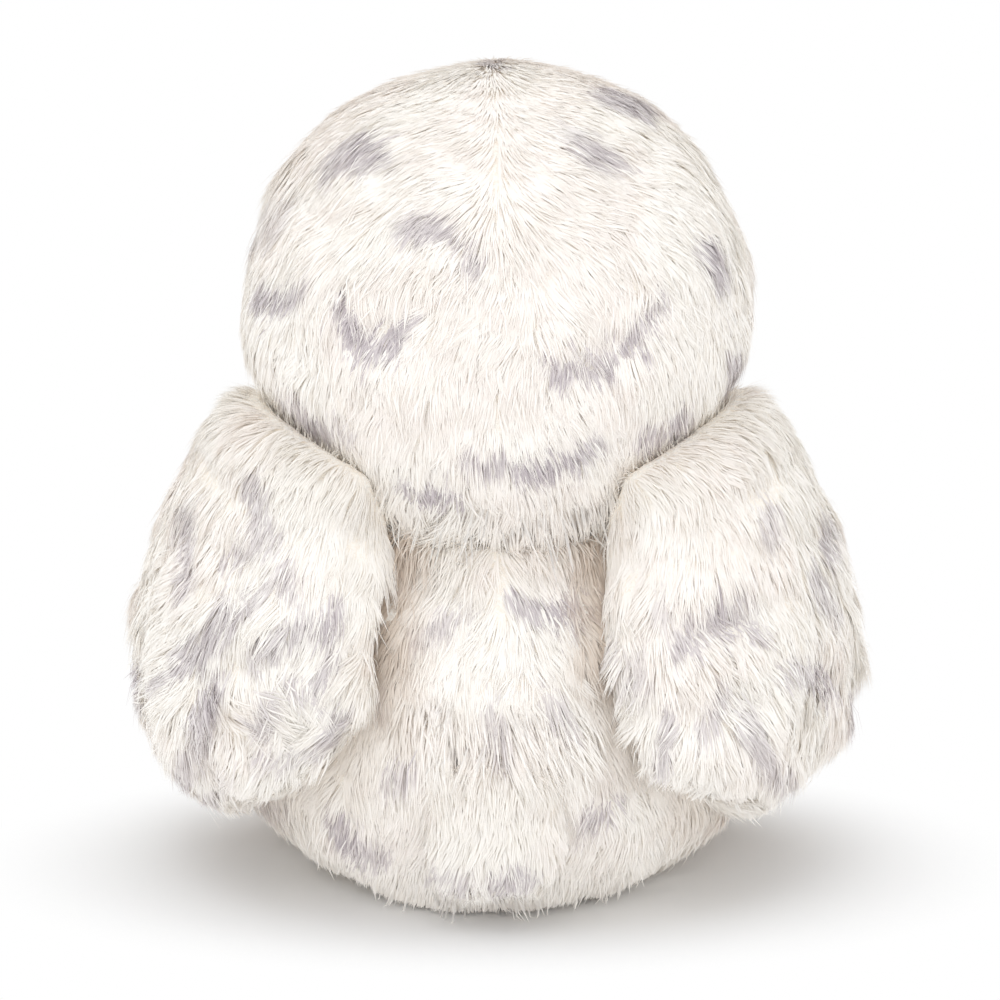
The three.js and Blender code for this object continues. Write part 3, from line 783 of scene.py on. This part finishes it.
def strand_mesh(name, points, shading, values):
    count, per = points.shape[:2]
    faces, places, shades = strand_faces()
    sizes = np.array([len(face) for face in faces])
    corners = np.concatenate([np.array(face) for face in faces])
    mesh = bpy.data.meshes.new(name)
    mesh.vertices.add(count * per)
    mesh.vertices.foreach_set("co", (points * MM).ravel())
    loops = (corners[None, :] + np.arange(count)[:, None] * per).ravel().astype(np.int32)
    mesh.loops.add(len(loops))
    mesh.loops.foreach_set("vertex_index", loops)
    starts = np.concatenate([[0], np.cumsum(np.tile(sizes, count))[:-1]]).astype(np.int32)
    mesh.polygons.add(len(faces) * count)
    mesh.polygons.foreach_set("loop_start", starts)
    shade_smooth(mesh)
    mesh.update(calc_edges=True)
    low, high = np.sort(edges_of(mesh) % per, axis=1).T
    crosswise = (low // 3 == high // 3) & (high < per - 1)
    sharp = mesh.attributes.new("sharp_edge", "BOOLEAN", "EDGE")
    sharp.data.foreach_set("value", ~crosswise | (high < 3))
    side = math.ceil(math.sqrt(count))
    cell = np.stack([np.arange(count) % side, np.arange(count) // side], axis=1)
    uv = (cell[:, None, :] + places[None, :, :]) / side
    mesh.uv_layers.new(name="OFBake").uv.foreach_set("vector", uv.astype(np.float32).ravel())
    for title, numbers in values.items():
        add_values(mesh, title, numbers)
    add_values(mesh, "custom_normal", shading[:, shades].reshape(-1, 3), "CORNER")
    mesh.update()
    return mesh


MOST_STRANDS = 19500
HIDDEN_ROOM, HIDDEN_SHARE = 9, 0.35  # where another form is this near, fewer strands grow


def side_by_side(places):
    """Splits places into parts that lie side by side, each small enough for one mesh."""
    order = np.argsort(np.arctan2(places[:, 0], places[:, 1]))
    return np.array_split(order, math.ceil(len(places) / MOST_STRANDS))


def pile(name, body, slot, material, form, others, seed, density, flow, coat, flecks=no_flecks):
    """Grows the pile of one piece of cloth over a form. density, flow and coat are functions of the
    roots and their normals, and others are the forms that it lies flat under."""
    rng = np.random.default_rng(SEED + seed)
    roots, normals = spread_roots(form, density, rng)
    room = room_over(roots, normals, others)
    keep = (room > HIDDEN_ROOM) | (rng.random(len(roots)) < HIDDEN_SHARE)
    roots, normals, room = roots[keep], normals[keep], room[keep]
    own = dict(coat(roots, normals))
    own["rise"] = np.minimum(own["rise"], np.maximum(room * 0.8, 0.7))
    own = {key: np.broadcast_to(value, len(roots)) for key, value in own.items()}
    heading = np.broadcast_to(flow(roots, normals), roots.shape)
    parts = side_by_side(roots)
    for part, chosen in enumerate(parts):
        title = f"{name}_{part + 1}" if len(parts) > 1 else name
        grow(title, body, slot, material, roots[chosen], normals[chosen], heading[chosen],
             {key: value[chosen] for key, value in own.items()}, flecks, rng)


# Places on the owl


def vertices_of(node):
    return points_of(frame["nodes"][node].data)


def eye_frame(side):
    """The middle of an eye's back, and the direction that it looks in."""
    eye, washer = vertices_of(f"eye_{side}"), vertices_of(f"eye_washer_{side}")
    ahead = unit(eye.mean(axis=0) - washer.mean(axis=0))
    middle = eye.mean(axis=0)
    top = middle + ahead * dot(eye - middle, ahead).max()
    return top - ahead * (EYE_RIM + EYE_DOME), ahead


EYE_RADIUS, EYE_RIM, EYE_DOME = 8, 1.2, 5.5
SHANK_RADIUS, SHANK_LENGTH = 2.2, 10
EYES = {side: eye_frame(side) for side in ("left", "right")}
BEAK_HALF_WIDTH, BEAK_HALF_HEIGHT, BEAK_REACH, BEAK_FALL = 5.5, 8, 12, 15
BEAK_ROOT = np.array([0, BEAK_HIGH[1] + 3.9, BEAK_LOW[2] + BEAK_FALL])


def inside_face(points):
    """How far inside the face's outline a place lies, in millimetres."""
    deep = np.full(len(points), -MOST_ROOM)
    for x, rise, radius in FACE_DISCS:
        away = np.hypot(points[:, 0] - x, points[:, 2] - HEAD_CENTRE[2] - rise)
        deep = np.maximum(deep, radius - away)
    return np.where(points[:, 1] < HEAD_CENTRE[1], deep, -MOST_ROOM)


def eye_distance(points):
    return np.min([np.linalg.norm(points - place, axis=1) for place, _ in EYES.values()], axis=0)


def inside_belly(points):
    """Above 0 inside the belly panel's oval."""
    middle = BELLY_TOP / 2
    share = np.hypot(points[:, 0] / BELLY_HALF_WIDTH, (points[:, 2] - middle) / middle)
    return np.where(points[:, 1] < MIDDLE_Y, 1 - share, -1)


# Shaping of the forms


def soft_lumps(points, normals):
    """The unevenness of loose filling."""
    return normals * (0.9 * noise(points, 17, 61) + 0.45 * noise(points, 8, 62))[:, None]


def head_relief(points, normals):
    """Soft lumps, full sides, a shallow dish round each eye, and a low ridge from brow to beak."""
    here = smoothstep(0, 5, inside_face(points))
    away = eye_distance(points)
    dish = -1.9 * smoothstep(7, 13, away) * smoothstep(26, 17, away)
    ridge = 1.8 * np.exp(-((points[:, 0] / 6) ** 2)) * smoothstep(120, 135, points[:, 2])
    cheeks = 1.4 * smoothstep(0.35, 0.9, np.abs(normals[:, 0])) * smoothstep(122, 138, points[:, 2])
    return normals * ((dish + ridge) * here + cheeks)[:, None] + soft_lumps(points, normals)


def rumpled(size, swell, seed):
    """Moves a skin in and out in soft lumps, more towards its low end, and its outer side outwards."""
    def move(points, normals):
        low = smoothstep(116, 70, points[:, 2])
        lumps = 0.7 * noise(points * np.array([1, 1, 0.8]), 19, seed) + 0.5 * noise(points, 10, seed + 1)
        outer = smoothstep(0.1, 0.6, dot(normals, outward(points)))
        outer *= smoothstep(114, 99, points[:, 2]) * smoothstep(24, 48, points[:, 2])
        return normals * (lumps * size * low + swell * outer)[:, None]
    return move


def lumpy(points, normals):
    """Pellets that press out through thin cloth."""
    return normals * (0.45 * noise(points, 3.2, 51) + 0.35 * noise(points, 11, 52))[:, None]


def make_form(name, body, nodes, material, fill, slot, **options):
    form = place_piece(name, under_form(name, nodes, **options), material, body, slot, *nodes)
    return form


# Lie and length of the pile, cloth by cloth


def everywhere(value):
    """A flow or a coat that doesn't vary over the cloth."""
    return lambda points, normals: value


def seen_density(points, normals):
    """Strands per square millimetre: more on the sides that the photograph shows."""
    return 1.3 + 1.7 * smoothstep(-0.25, 0.1, dot(normals, BACKWARD))


def coat_of(length, rise, width=0.4, wild=1.0, swirl=0.3, ragged=1.0, hug=0.0, crease=0.0):
    """Length and width of the strands, rise of their tips, how much their lie varies from lock to lock
    (wild) and over the cloth (swirl), how much their length does (ragged), how much they bend with the
    form (hug, the bend in radians per millimetre), and how much tan painted shade they carry."""
    return dict(length=length, rise=rise, width=width, wild=wild, swirl=swirl, ragged=ragged, hug=hug,
                crease=crease)


LONG, LONG_RISE, LONG_HUG = 11.0, 1.1, 0.011


def long_coat(length=LONG, rise=LONG_RISE, swirl=0.35, hug=LONG_HUG, **others):
    return coat_of(length, rise, swirl=swirl, hug=hug, **others)


def head_density(points, normals):
    crown = 1 + 0.5 * smoothstep(0.6, 0.95, normals[:, 2])
    return seen_density(points, normals) * crown * (inside_face(points) < 0)


def head_flow(points, normals):
    """To both sides from the seam over the crown, then down on all sides."""
    over = smoothstep(0.2, 0.85, normals[:, 2])[:, None]
    aside = np.tanh(points[:, :1] / 9) * (0.25 + 0.85 * over)
    return X_AXIS * aside + Y_AXIS * 0.45 * over - Z_AXIS * (1 - over)


def head_coat(points, normals):
    """Sleek on the crown, and long where it hangs over the shoulders."""
    crown = smoothstep(0.5, 0.95, normals[:, 2])
    low = smoothstep(120, 98, points[:, 2])
    return long_coat(
        length=LONG - 3.5 * crown + 5 * low,
        rise=LONG_RISE - 0.3 * crown + 5 * low,
        wild=1 - 0.4 * crown + 0.5 * low,
        ragged=1 + 1.6 * low,
        hug=LONG_HUG * (1 - low),
    )


def face_density(points, normals):
    beak = np.hypot(points[:, 0] / BEAK_HALF_WIDTH, (points[:, 2] - BEAK_ROOT[2]) / BEAK_HALF_HEIGHT)
    return 2.3 * (inside_face(points) >= 0) * (eye_distance(points) > 6.5) * (beak > 0.8)


def face_flow(points, normals):
    """Outwards from the eyes and from the beak's root."""
    total = np.zeros_like(points)
    for place in [EYES["left"][0], EYES["right"][0], BEAK_ROOT]:
        away = points - place
        total += away / np.linalg.norm(away, axis=1, keepdims=True) ** 2.5
    return total


def face_coat(points, normals):
    far = smoothstep(8, 24, eye_distance(points))
    return coat_of(2.8 + 3.6 * far, 1.3 + 0.8 * far, wild=0.4, swirl=0.1)


def body_density(points, normals):
    return seen_density(points, normals) * (normals[:, 2] > -0.75) * (inside_belly(points) < 0)


def body_flow(points, normals):
    return X_AXIS * 0.12 * np.sign(points[:, :1]) - Z_AXIS


def body_coat(points, normals):
    """Spread over the floor at the back, raised over the tail's top edge, with tan painted shade beside the
    wings and a faint tan towards the floor.
    """
    height = points[:, 2]
    low = smoothstep(26, 6, height)
    spread = smoothstep(20, 7, height) * smoothstep(0.25, 0.8, normals[:, 1])
    spread *= smoothstep(50, 8, np.abs(points[:, 0]))
    by_tail = smoothstep(26, 15, np.abs(points[:, 0])) * (points[:, 1] > 0)
    over_tail = by_tail * smoothstep(TAIL_TOP - 4, TAIL_TOP + 2, height)
    over_tail *= smoothstep(TAIL_TOP + 16, TAIL_TOP + 8, height)
    # painted shade: tan pile where a wing lies close, stronger towards the head
    wing_shade = np.max([nearness(points, tree_of[wing], 17) for wing in ("wing_left", "wing_right")], axis=0)
    wing_shade *= 0.92 * (0.25 + 0.75 * smoothstep(45, 80, height))
    return long_coat(
        length=LONG - 3.5 * low + 5 * over_tail,
        rise=LONG_RISE + 5 * spread + 6 * over_tail,
        wild=1 - 0.5 * spread,
        hug=LONG_HUG * (1 - np.maximum(spread, over_tail)),
        crease=np.maximum(wing_shade, 0.06 * low),
    )


def belly_density(points, normals):
    return 1.7 * (inside_belly(points) >= 0) * (normals[:, 2] > -0.75)


def belly_coat(points, normals):
    low = smoothstep(26, 8, points[:, 2])
    return coat_of(8 - 2 * low, 1.6, wild=0.6, swirl=0.2)


def outward(points):
    return unit(points * (X_AXIS + Y_AXIS))


def outer_density(points, normals):
    return seen_density(points, normals) * (dot(normals, outward(points)) >= -0.25)


def lining_density(points, normals):
    return 1.0 * (dot(normals, outward(points)) < -0.25)


def wing_flow(points, normals):
    """Out over the top edge, then down and a little outwards."""
    top = smoothstep(WING_TOP - 22, WING_TOP - 4, points[:, 2])[:, None]
    return outward(points) * (0.15 + 0.9 * top) - Z_AXIS * (1 - 0.6 * top)


def wing_coat(points, normals):
    """Shorter over the shoulder and in the fringe, and wilder towards the low end."""
    low = smoothstep(95, 45, points[:, 2])
    fringe = smoothstep(0, -0.7, normals[:, 2])
    shoulder = smoothstep(WING_TOP - 22, WING_TOP - 8, points[:, 2])
    return long_coat(
        length=LONG - 3 * np.maximum(fringe, shoulder),
        rise=LONG_RISE + 0.6 * low - 0.2 * shoulder,
        wild=1 + 0.35 * low,
        swirl=0.35 + 0.5 * low,
    )


def tail_flow(points, normals):
    """Out over the top edge, then down."""
    top = smoothstep(TAIL_TOP - 9, TAIL_TOP - 2, points[:, 2])[:, None]
    return outward(points) * (0.1 + 0.9 * top) - Z_AXIS * (1 - 0.7 * top)


TAIL_COAT = coat_of(8.5, 1.2, wild=0.8)
LINING_COAT = coat_of(3.6, 1.3, wild=0.5)
FOOT_COAT = coat_of(3.6, 1.5, width=0.26, wild=0.6)
FOOT_FLOW = -Y_AXIS - Z_AXIS * 0.6


def foot_density(points, normals):
    return 2.2 * (normals[:, 2] > -0.6)


# Eyes, beak and sole


def grid_mesh(name, rings):
    """A closed skin through rings of points, in rows of one length, with a face over each end."""
    count, sides = rings.shape[:2]
    mesh = bpy.data.meshes.new(name)
    faces = []
    for ring in range(count - 1):
        for side in range(sides):
            after = (side + 1) % sides
            a, b = ring * sides, (ring + 1) * sides
            faces.append((a + side, a + after, b + after, b + side))
    faces.append(tuple(range(sides))[::-1])
    faces.append(tuple((count - 1) * sides + side for side in range(sides)))
    mesh.from_pydata([tuple(p) for p in rings.reshape(-1, 3) * MM], [], faces)
    shade_smooth(mesh)
    mesh.update()
    return mesh


def round_angles(count):
    return np.arange(count) / count * 2 * math.pi


EYE_SIDES = 56


def eye_profile():
    """Radius and height over the eye's back, from the end of the shank to the dome's top."""
    end = -SHANK_LENGTH
    shank = [(0.3, end), (1.7, end), (SHANK_RADIUS, end + 0.6), (SHANK_RADIUS, -0.4)]
    rim = [(SHANK_RADIUS + 0.3, 0), (7.3, 0), (7.8, 0.15), (EYE_RADIUS, 0.5), (EYE_RADIUS, EYE_RIM - 0.25)]
    angles = np.radians(np.arange(4, 88, 4.5))
    dome = [(EYE_RADIUS * math.cos(a), EYE_RIM + EYE_DOME * math.sin(a)) for a in angles]
    return np.array([*shank, *rim, *dome, (0.12, EYE_RIM + EYE_DOME)])


def make_eye(side, material):
    base, ahead = EYES[side]
    profile = eye_profile()
    right = unit(np.cross(Z_AXIS, ahead))
    up = np.cross(ahead, right)
    turn = round_angles(EYE_SIDES)
    spoke = np.cos(turn)[:, None] * right + np.sin(turn)[:, None] * up
    rings = base + profile[:, :1, None] * spoke[None] + profile[:, 1:, None] * ahead
    mesh = grid_mesh(f"eye_{side}_glass", rings)
    radial = np.repeat(np.where(profile[:, 1] > EYE_RIM, profile[:, 0] / EYE_RADIUS, 1.0), EYE_SIDES)
    add_values(mesh, "radial", radial)
    round_way = np.stack([np.cos(turn), np.sin(turn)], axis=1)
    add_values(mesh, "spokes", np.column_stack([np.tile(round_way, (len(profile), 1)), radial * 0.12]))
    return place_piece(f"eye_{side}_glass", mesh, material, "head", "eye", f"eye_{side}")


BEAK_SIDES, BEAK_RINGS = 40, 30
BEAK_SIZES = [0, 0.22, 0.45, 0.66, 0.84, 0.96, 1], [1, 0.98, 0.84, 0.62, 0.36, 0.14, 0.03]


def make_beak(material):
    """A hooked beak with a ridge above and a mouth line to each side."""
    turn = round_angles(BEAK_SIDES)
    rings, shares = [], []
    front = BEAK_ROOT - Y_AXIS * BEAK_REACH
    ends = BEAK_ROOT, front, front - Z_AXIS * BEAK_FALL
    for t in np.linspace(0, 1, BEAK_RINGS):
        centre = (1 - t) ** 2 * ends[0] + 2 * t * (1 - t) * ends[1] + t * t * ends[2]
        ahead = unit((1 - t) * (ends[1] - ends[0]) + t * (ends[2] - ends[1]))
        up = np.cross(X_AXIS, ahead) * -1
        size = np.interp(t, *BEAK_SIZES)
        ridge = np.maximum(np.sin(turn), 0)
        mouth = 1 - 0.09 * np.exp(-(((np.sin(turn) + 0.38) / 0.09) ** 2)) * smoothstep(1, 0.6, t)
        wide = BEAK_HALF_WIDTH * size * np.cos(turn) * (1 - 0.24 * ridge**2) * mouth
        high = BEAK_HALF_HEIGHT * size * np.sin(turn) * mouth
        rings.append(centre + wide[:, None] * X_AXIS + high[:, None] * up)
        shares += [t] * BEAK_SIDES
    mesh = grid_mesh("beak_horn", np.array(rings)[:, ::-1])
    add_values(mesh, "along", np.array(shares))
    return place_piece("beak_horn", mesh, material, "head", "beak", "beak")


SOLE_SIDES = 96
SOLE_PROFILE = [(0.02, 0.5), (0.5, 0.45), (0.88, 0.3), (0.94, 0.22), (0.975, 0.4), (0.995, 0.9), (1, 1.4),
                (0.985, 2.0), (0.95, 2.35), (0.5, 2.4), (0.02, 2.4)]
STITCHES, STITCH_SHARE = 84, 0.955


def make_sole(cloth, thread):
    """The round sole that the owl sits on, and the ring of stitches inside its rim."""
    low, high = node_box("base_panel")
    middle, half = (low + high) / 2, (high - low) / 2
    turn = round_angles(SOLE_SIDES)
    round_way = np.stack([np.cos(turn) * half[0], np.sin(turn) * half[1]], axis=1)
    rings = []
    for share, height in SOLE_PROFILE:
        flat = middle[:2] + round_way * share
        puckers = 0.12 * np.sin(turn * STITCHES) * smoothstep(0.8, 0.95, share)
        rings.append(np.column_stack([flat, height + puckers]))
    place_piece("sole", grid_mesh("sole", np.array(rings)), cloth, "body", "sole_cloth", "base_panel")
    work = bmesh.new()
    for angle in round_angles(STITCHES):
        across = Vector((math.cos(angle) * half[0], math.sin(angle) * half[1], 0)) * STITCH_SHARE
        way = Vector((-math.sin(angle) * half[0], math.cos(angle) * half[1], 0)).normalized()
        made = bmesh.ops.create_icosphere(work, subdivisions=2, radius=1)["verts"]
        side = Vector((0, 0, 1)).cross(way)
        for vert in made:
            x, y, z = vert.co
            place = Vector((middle[0], middle[1], 0.42)) + across
            vert.co = (place + way * x * 1.25 + side * y * 0.34 + Vector((0, 0, z * 0.3))) * MM
    mesh = bpy.data.meshes.new("sole_stitches")
    work.to_mesh(mesh)
    work.free()
    shade_smooth(mesh)
    place_piece("sole_stitches", mesh, thread, "body", "sole_cloth")


# Stage

FLOOR_HALF = 3.0
SHADOW_MIDDLE = (0, 0.030, 0)
SHADOW_HALVES = 0.124, 0.064  # metres
SHADOW_FADE = 0.55, 1.12  # shares of those halves over which the floor fades to the white backdrop
SKY = 1.04
LAMPS = [("key", (0.25, 0.7, 1.6), 0.9, 3.2), ("low", (0.1, 1.5, 0.12), 0.8, 1.7)]  # place, size, watts
LAMP_AIM = (0, 0, 0.1)
FLOOR_WHITE, FLOOR_SHADOW_GREY = (0.93,) * 3, (0.76,) * 3  # to the light, and to the camera, where the grey is a painted shadow round the owl
LIGHT_BOUNCES, PILE_BOUNCES = 16, 12  # light runs deep through a white pile


def seen_directly(tree):
    """1 for camera, glossy and transmission rays."""
    path = tree.nodes.new("ShaderNodeLightPath")
    value = path.outputs["Is Camera Ray"]
    for ray in ("Is Glossy Ray", "Is Transmission Ray"):
        value = combined(tree, "MAXIMUM", value, path.outputs[ray])
    return value


def mix_shaders(tree, factor, first, second, output):
    node = tree.nodes.new("ShaderNodeMixShader")
    for place, value in enumerate((factor, first, second)):
        link(value, node, place)
    link(node.outputs[0], tree.nodes[output], "Surface")


def floor_material():
    """White to the light; to the camera a grey painted shadow inside an ellipse round the owl, fading to as
    white as the backdrop beyond it.
    """
    material, tree, shader = new_material("floor_white", roughness=0.9, specular=0.0)
    # painted shadow: the floor looks grey to the camera inside the shadow ellipse
    colour = mix(tree, seen_directly(tree), FLOOR_WHITE, FLOOR_SHADOW_GREY)
    link(colour, shader, "Base Color")
    white = tree.nodes.new("ShaderNodeEmission")
    socket(white, Color=(1, 1, 1, 1), Strength=1.0)
    mapping = tree.nodes.new("ShaderNodeMapping")
    mapping.vector_type = "TEXTURE"
    socket(mapping, Location=SHADOW_MIDDLE, Scale=(*SHADOW_HALVES, 1))
    link(coordinate(tree), mapping, "Vector")
    distance = tree.nodes.new("ShaderNodeVectorMath")
    distance.operation = "LENGTH"
    link(mapping.outputs["Vector"], distance)
    beyond = ramp(tree, distance.outputs["Value"], *SHADOW_FADE)
    fade = combined(tree, "MULTIPLY", beyond, seen_directly(tree))
    mix_shaders(tree, fade, shader.outputs[0], white.outputs[0], "Material Output")
    return material


def build_stage():
    mesh = bpy.data.meshes.new("floor")
    corners = [(x * FLOOR_HALF, y * FLOOR_HALF, 0) for x, y in ((-1, -1), (1, -1), (1, 1), (-1, 1))]
    mesh.from_pydata(corners, [], [(0, 1, 2, 3)])
    new_object("floor", mesh, floor_material())
    world = bpy.data.worlds.new("studio")
    bpy.context.scene.world = world
    world.use_nodes = True
    tree = world.node_tree
    light = tree.nodes["Background"]
    socket(light, Color=(1, 1, 1, 1), Strength=SKY)
    seen = tree.nodes.new("ShaderNodeBackground")
    socket(seen, Color=(1, 1, 1, 1), Strength=1.0)
    mix_shaders(tree, seen_directly(tree), light.outputs[0], seen.outputs[0], "World Output")


def new_aimed(name, data, place, ahead):
    """A lamp or a camera that looks along ahead."""
    obj = new_object(name, data)
    obj.location = place
    obj.rotation_mode = "QUATERNION"
    obj.rotation_quaternion = ahead.to_track_quat("-Z", "Y")
    return obj


def add_lamp(name, place, size, power):
    data = bpy.data.lights.new(name, "AREA")
    data.shape, data.size, data.energy = "DISK", size, power
    new_aimed(name, data, place, Vector(LAMP_AIM) - Vector(place))


def build_camera():
    data = bpy.data.cameras.new("camera")
    data.lens, data.sensor_width = LENS, SENSOR
    data.clip_start, data.clip_end = 0.05, 20
    place = Vector(EYE_POINT) * MM
    bpy.context.scene.camera = new_aimed("camera", data, place, -Vector(BACKWARD))


scene = bpy.context.scene
scene.view_settings.view_transform = "Standard"
scene.cycles.max_bounces = LIGHT_BOUNCES
scene.cycles.diffuse_bounces = PILE_BOUNCES
build_camera()
build_stage()
for lamp in LAMPS:
    add_lamp(*lamp)

# Materials of the pieces
long_pile = fur_material("long_pile", SNOW, BLUSH, WARM)
belly_pile = fur_material("belly_pile", SNOW, CREAM, WARM)
face_pile = fur_material("face_pile", SNOW, CREAM, WARM)
lining_pile = fur_material("lining_pile", CREAM, WARM, WARM)
foot_pile = fur_material("foot_pile", CREAM, SNOW, WARM)
backing = backing_material("backing", BACKING, CREAM)
pellet_cloth = cloth_material("pellet_cloth", PELLET_WHITE, SOLE_CREAM, 0.0007)
sole_cloth = cloth_material("sole_cloth", SOLE_CREAM, THREAD, 0.0006)
thread = backing_material("thread", THREAD, SOLE_CREAM)

# Forms, body by body
head_nodes = ["head_left", "head_right", "face_disc", "head_stuffing"]
smooth = {"inset": -0.4, "rounds": 36}
head = make_form("head_form", "head", head_nodes, backing, 0.85, "long_fur", rumple=head_relief, **smooth)
body_nodes = ["body_back_left", "body_back_right", "body_belly", "body_stuffing"]
body = make_form("body_form", "body", body_nodes, backing, 0.8, "long_fur", rumple=soft_lumps, **smooth)
forms = {"head": head, "body": body}
for name, *lumps in (("wing_left", 3.6, 2.2, 21), ("wing_right", 3.6, 2.6, 31), ("tail", 0.5, 0, 41)):
    nodes = [f"{name}_{layer}" for layer in ("outer", "lining", "wadding")]
    options = {"cell": 1.8, "rounds": 10, "rumple": rumpled(*lumps)}
    forms[name] = make_form(f"{name}_form", name, nodes, backing, 0.6, "long_fur", **options)
tree_of = {name: surface_tree(form) for name, form in forms.items()}
make_form("pellets", "body", ["pellet_bag"], pellet_cloth, 0.7, "pellet_cloth", inset=0.6, cell=1.3,
          rumple=lumpy)

# Pile
others = {name: [tree for other, tree in tree_of.items() if other != name] for name in forms}
pile("head_fur", "head", "long_fur", long_pile, head, others["head"], 0,
     head_density, head_flow, head_coat, flecked(HEAD_MARKS))
pile("face_fur", "head", "face_fur", face_pile, head, [], 1, face_density, face_flow, face_coat, face_flecks)
pile("body_fur", "body", "long_fur", long_pile, body, others["body"], 2,
     body_density, body_flow, body_coat, flecked(BACK_MARKS))
pile("belly_fur", "body", "belly_fur", belly_pile, body, [], 3,
     belly_density, body_flow, belly_coat, belly_flecks)
for name, seed, flow, coat, marks in (
    ("wing_left", 4, wing_flow, wing_coat, LEFT_WING_MARKS),
    ("wing_right", 5, wing_flow, wing_coat, RIGHT_WING_MARKS),
    ("tail", 6, tail_flow, everywhere(TAIL_COAT), BACK_MARKS),
):
    near = [tree_of["body"], tree_of["head"]]
    pile(f"{name}_fur", name, "long_fur", long_pile, forms[name], near, seed,
         outer_density, flow, coat, flecked(marks))
    pile(f"{name}_nap", name, "lining", lining_pile, forms[name], near, seed + 10,
         lining_density, flow, everywhere(LINING_COAT))
for seed, side in ((7, "left"), (8, "right")):
    name = f"foot_{side}"
    options = {"inset": 0.7, "cell": 1.1, "rounds": 3}
    foot = make_form(f"{name}_form", "body", [name], backing, 0.8, "foot_plush", **options)
    pile(f"{name}_fur", "body", "foot_plush", foot_pile, foot, [tree_of["body"]], seed,
         foot_density, everywhere(FOOT_FLOW), everywhere(FOOT_COAT))

# Fittings
glaze = eye_material()
for side in EYES:
    make_eye(side, glaze)
    washer = frame["nodes"][f"eye_washer_{side}"]
    washer.data.materials.clear()
    washer.data.materials.append(moulded_material(f"washer_{side}", WASHER_WHITE, PELLET_WHITE))
make_beak(horn_material())
make_sole(sole_cloth, thread)
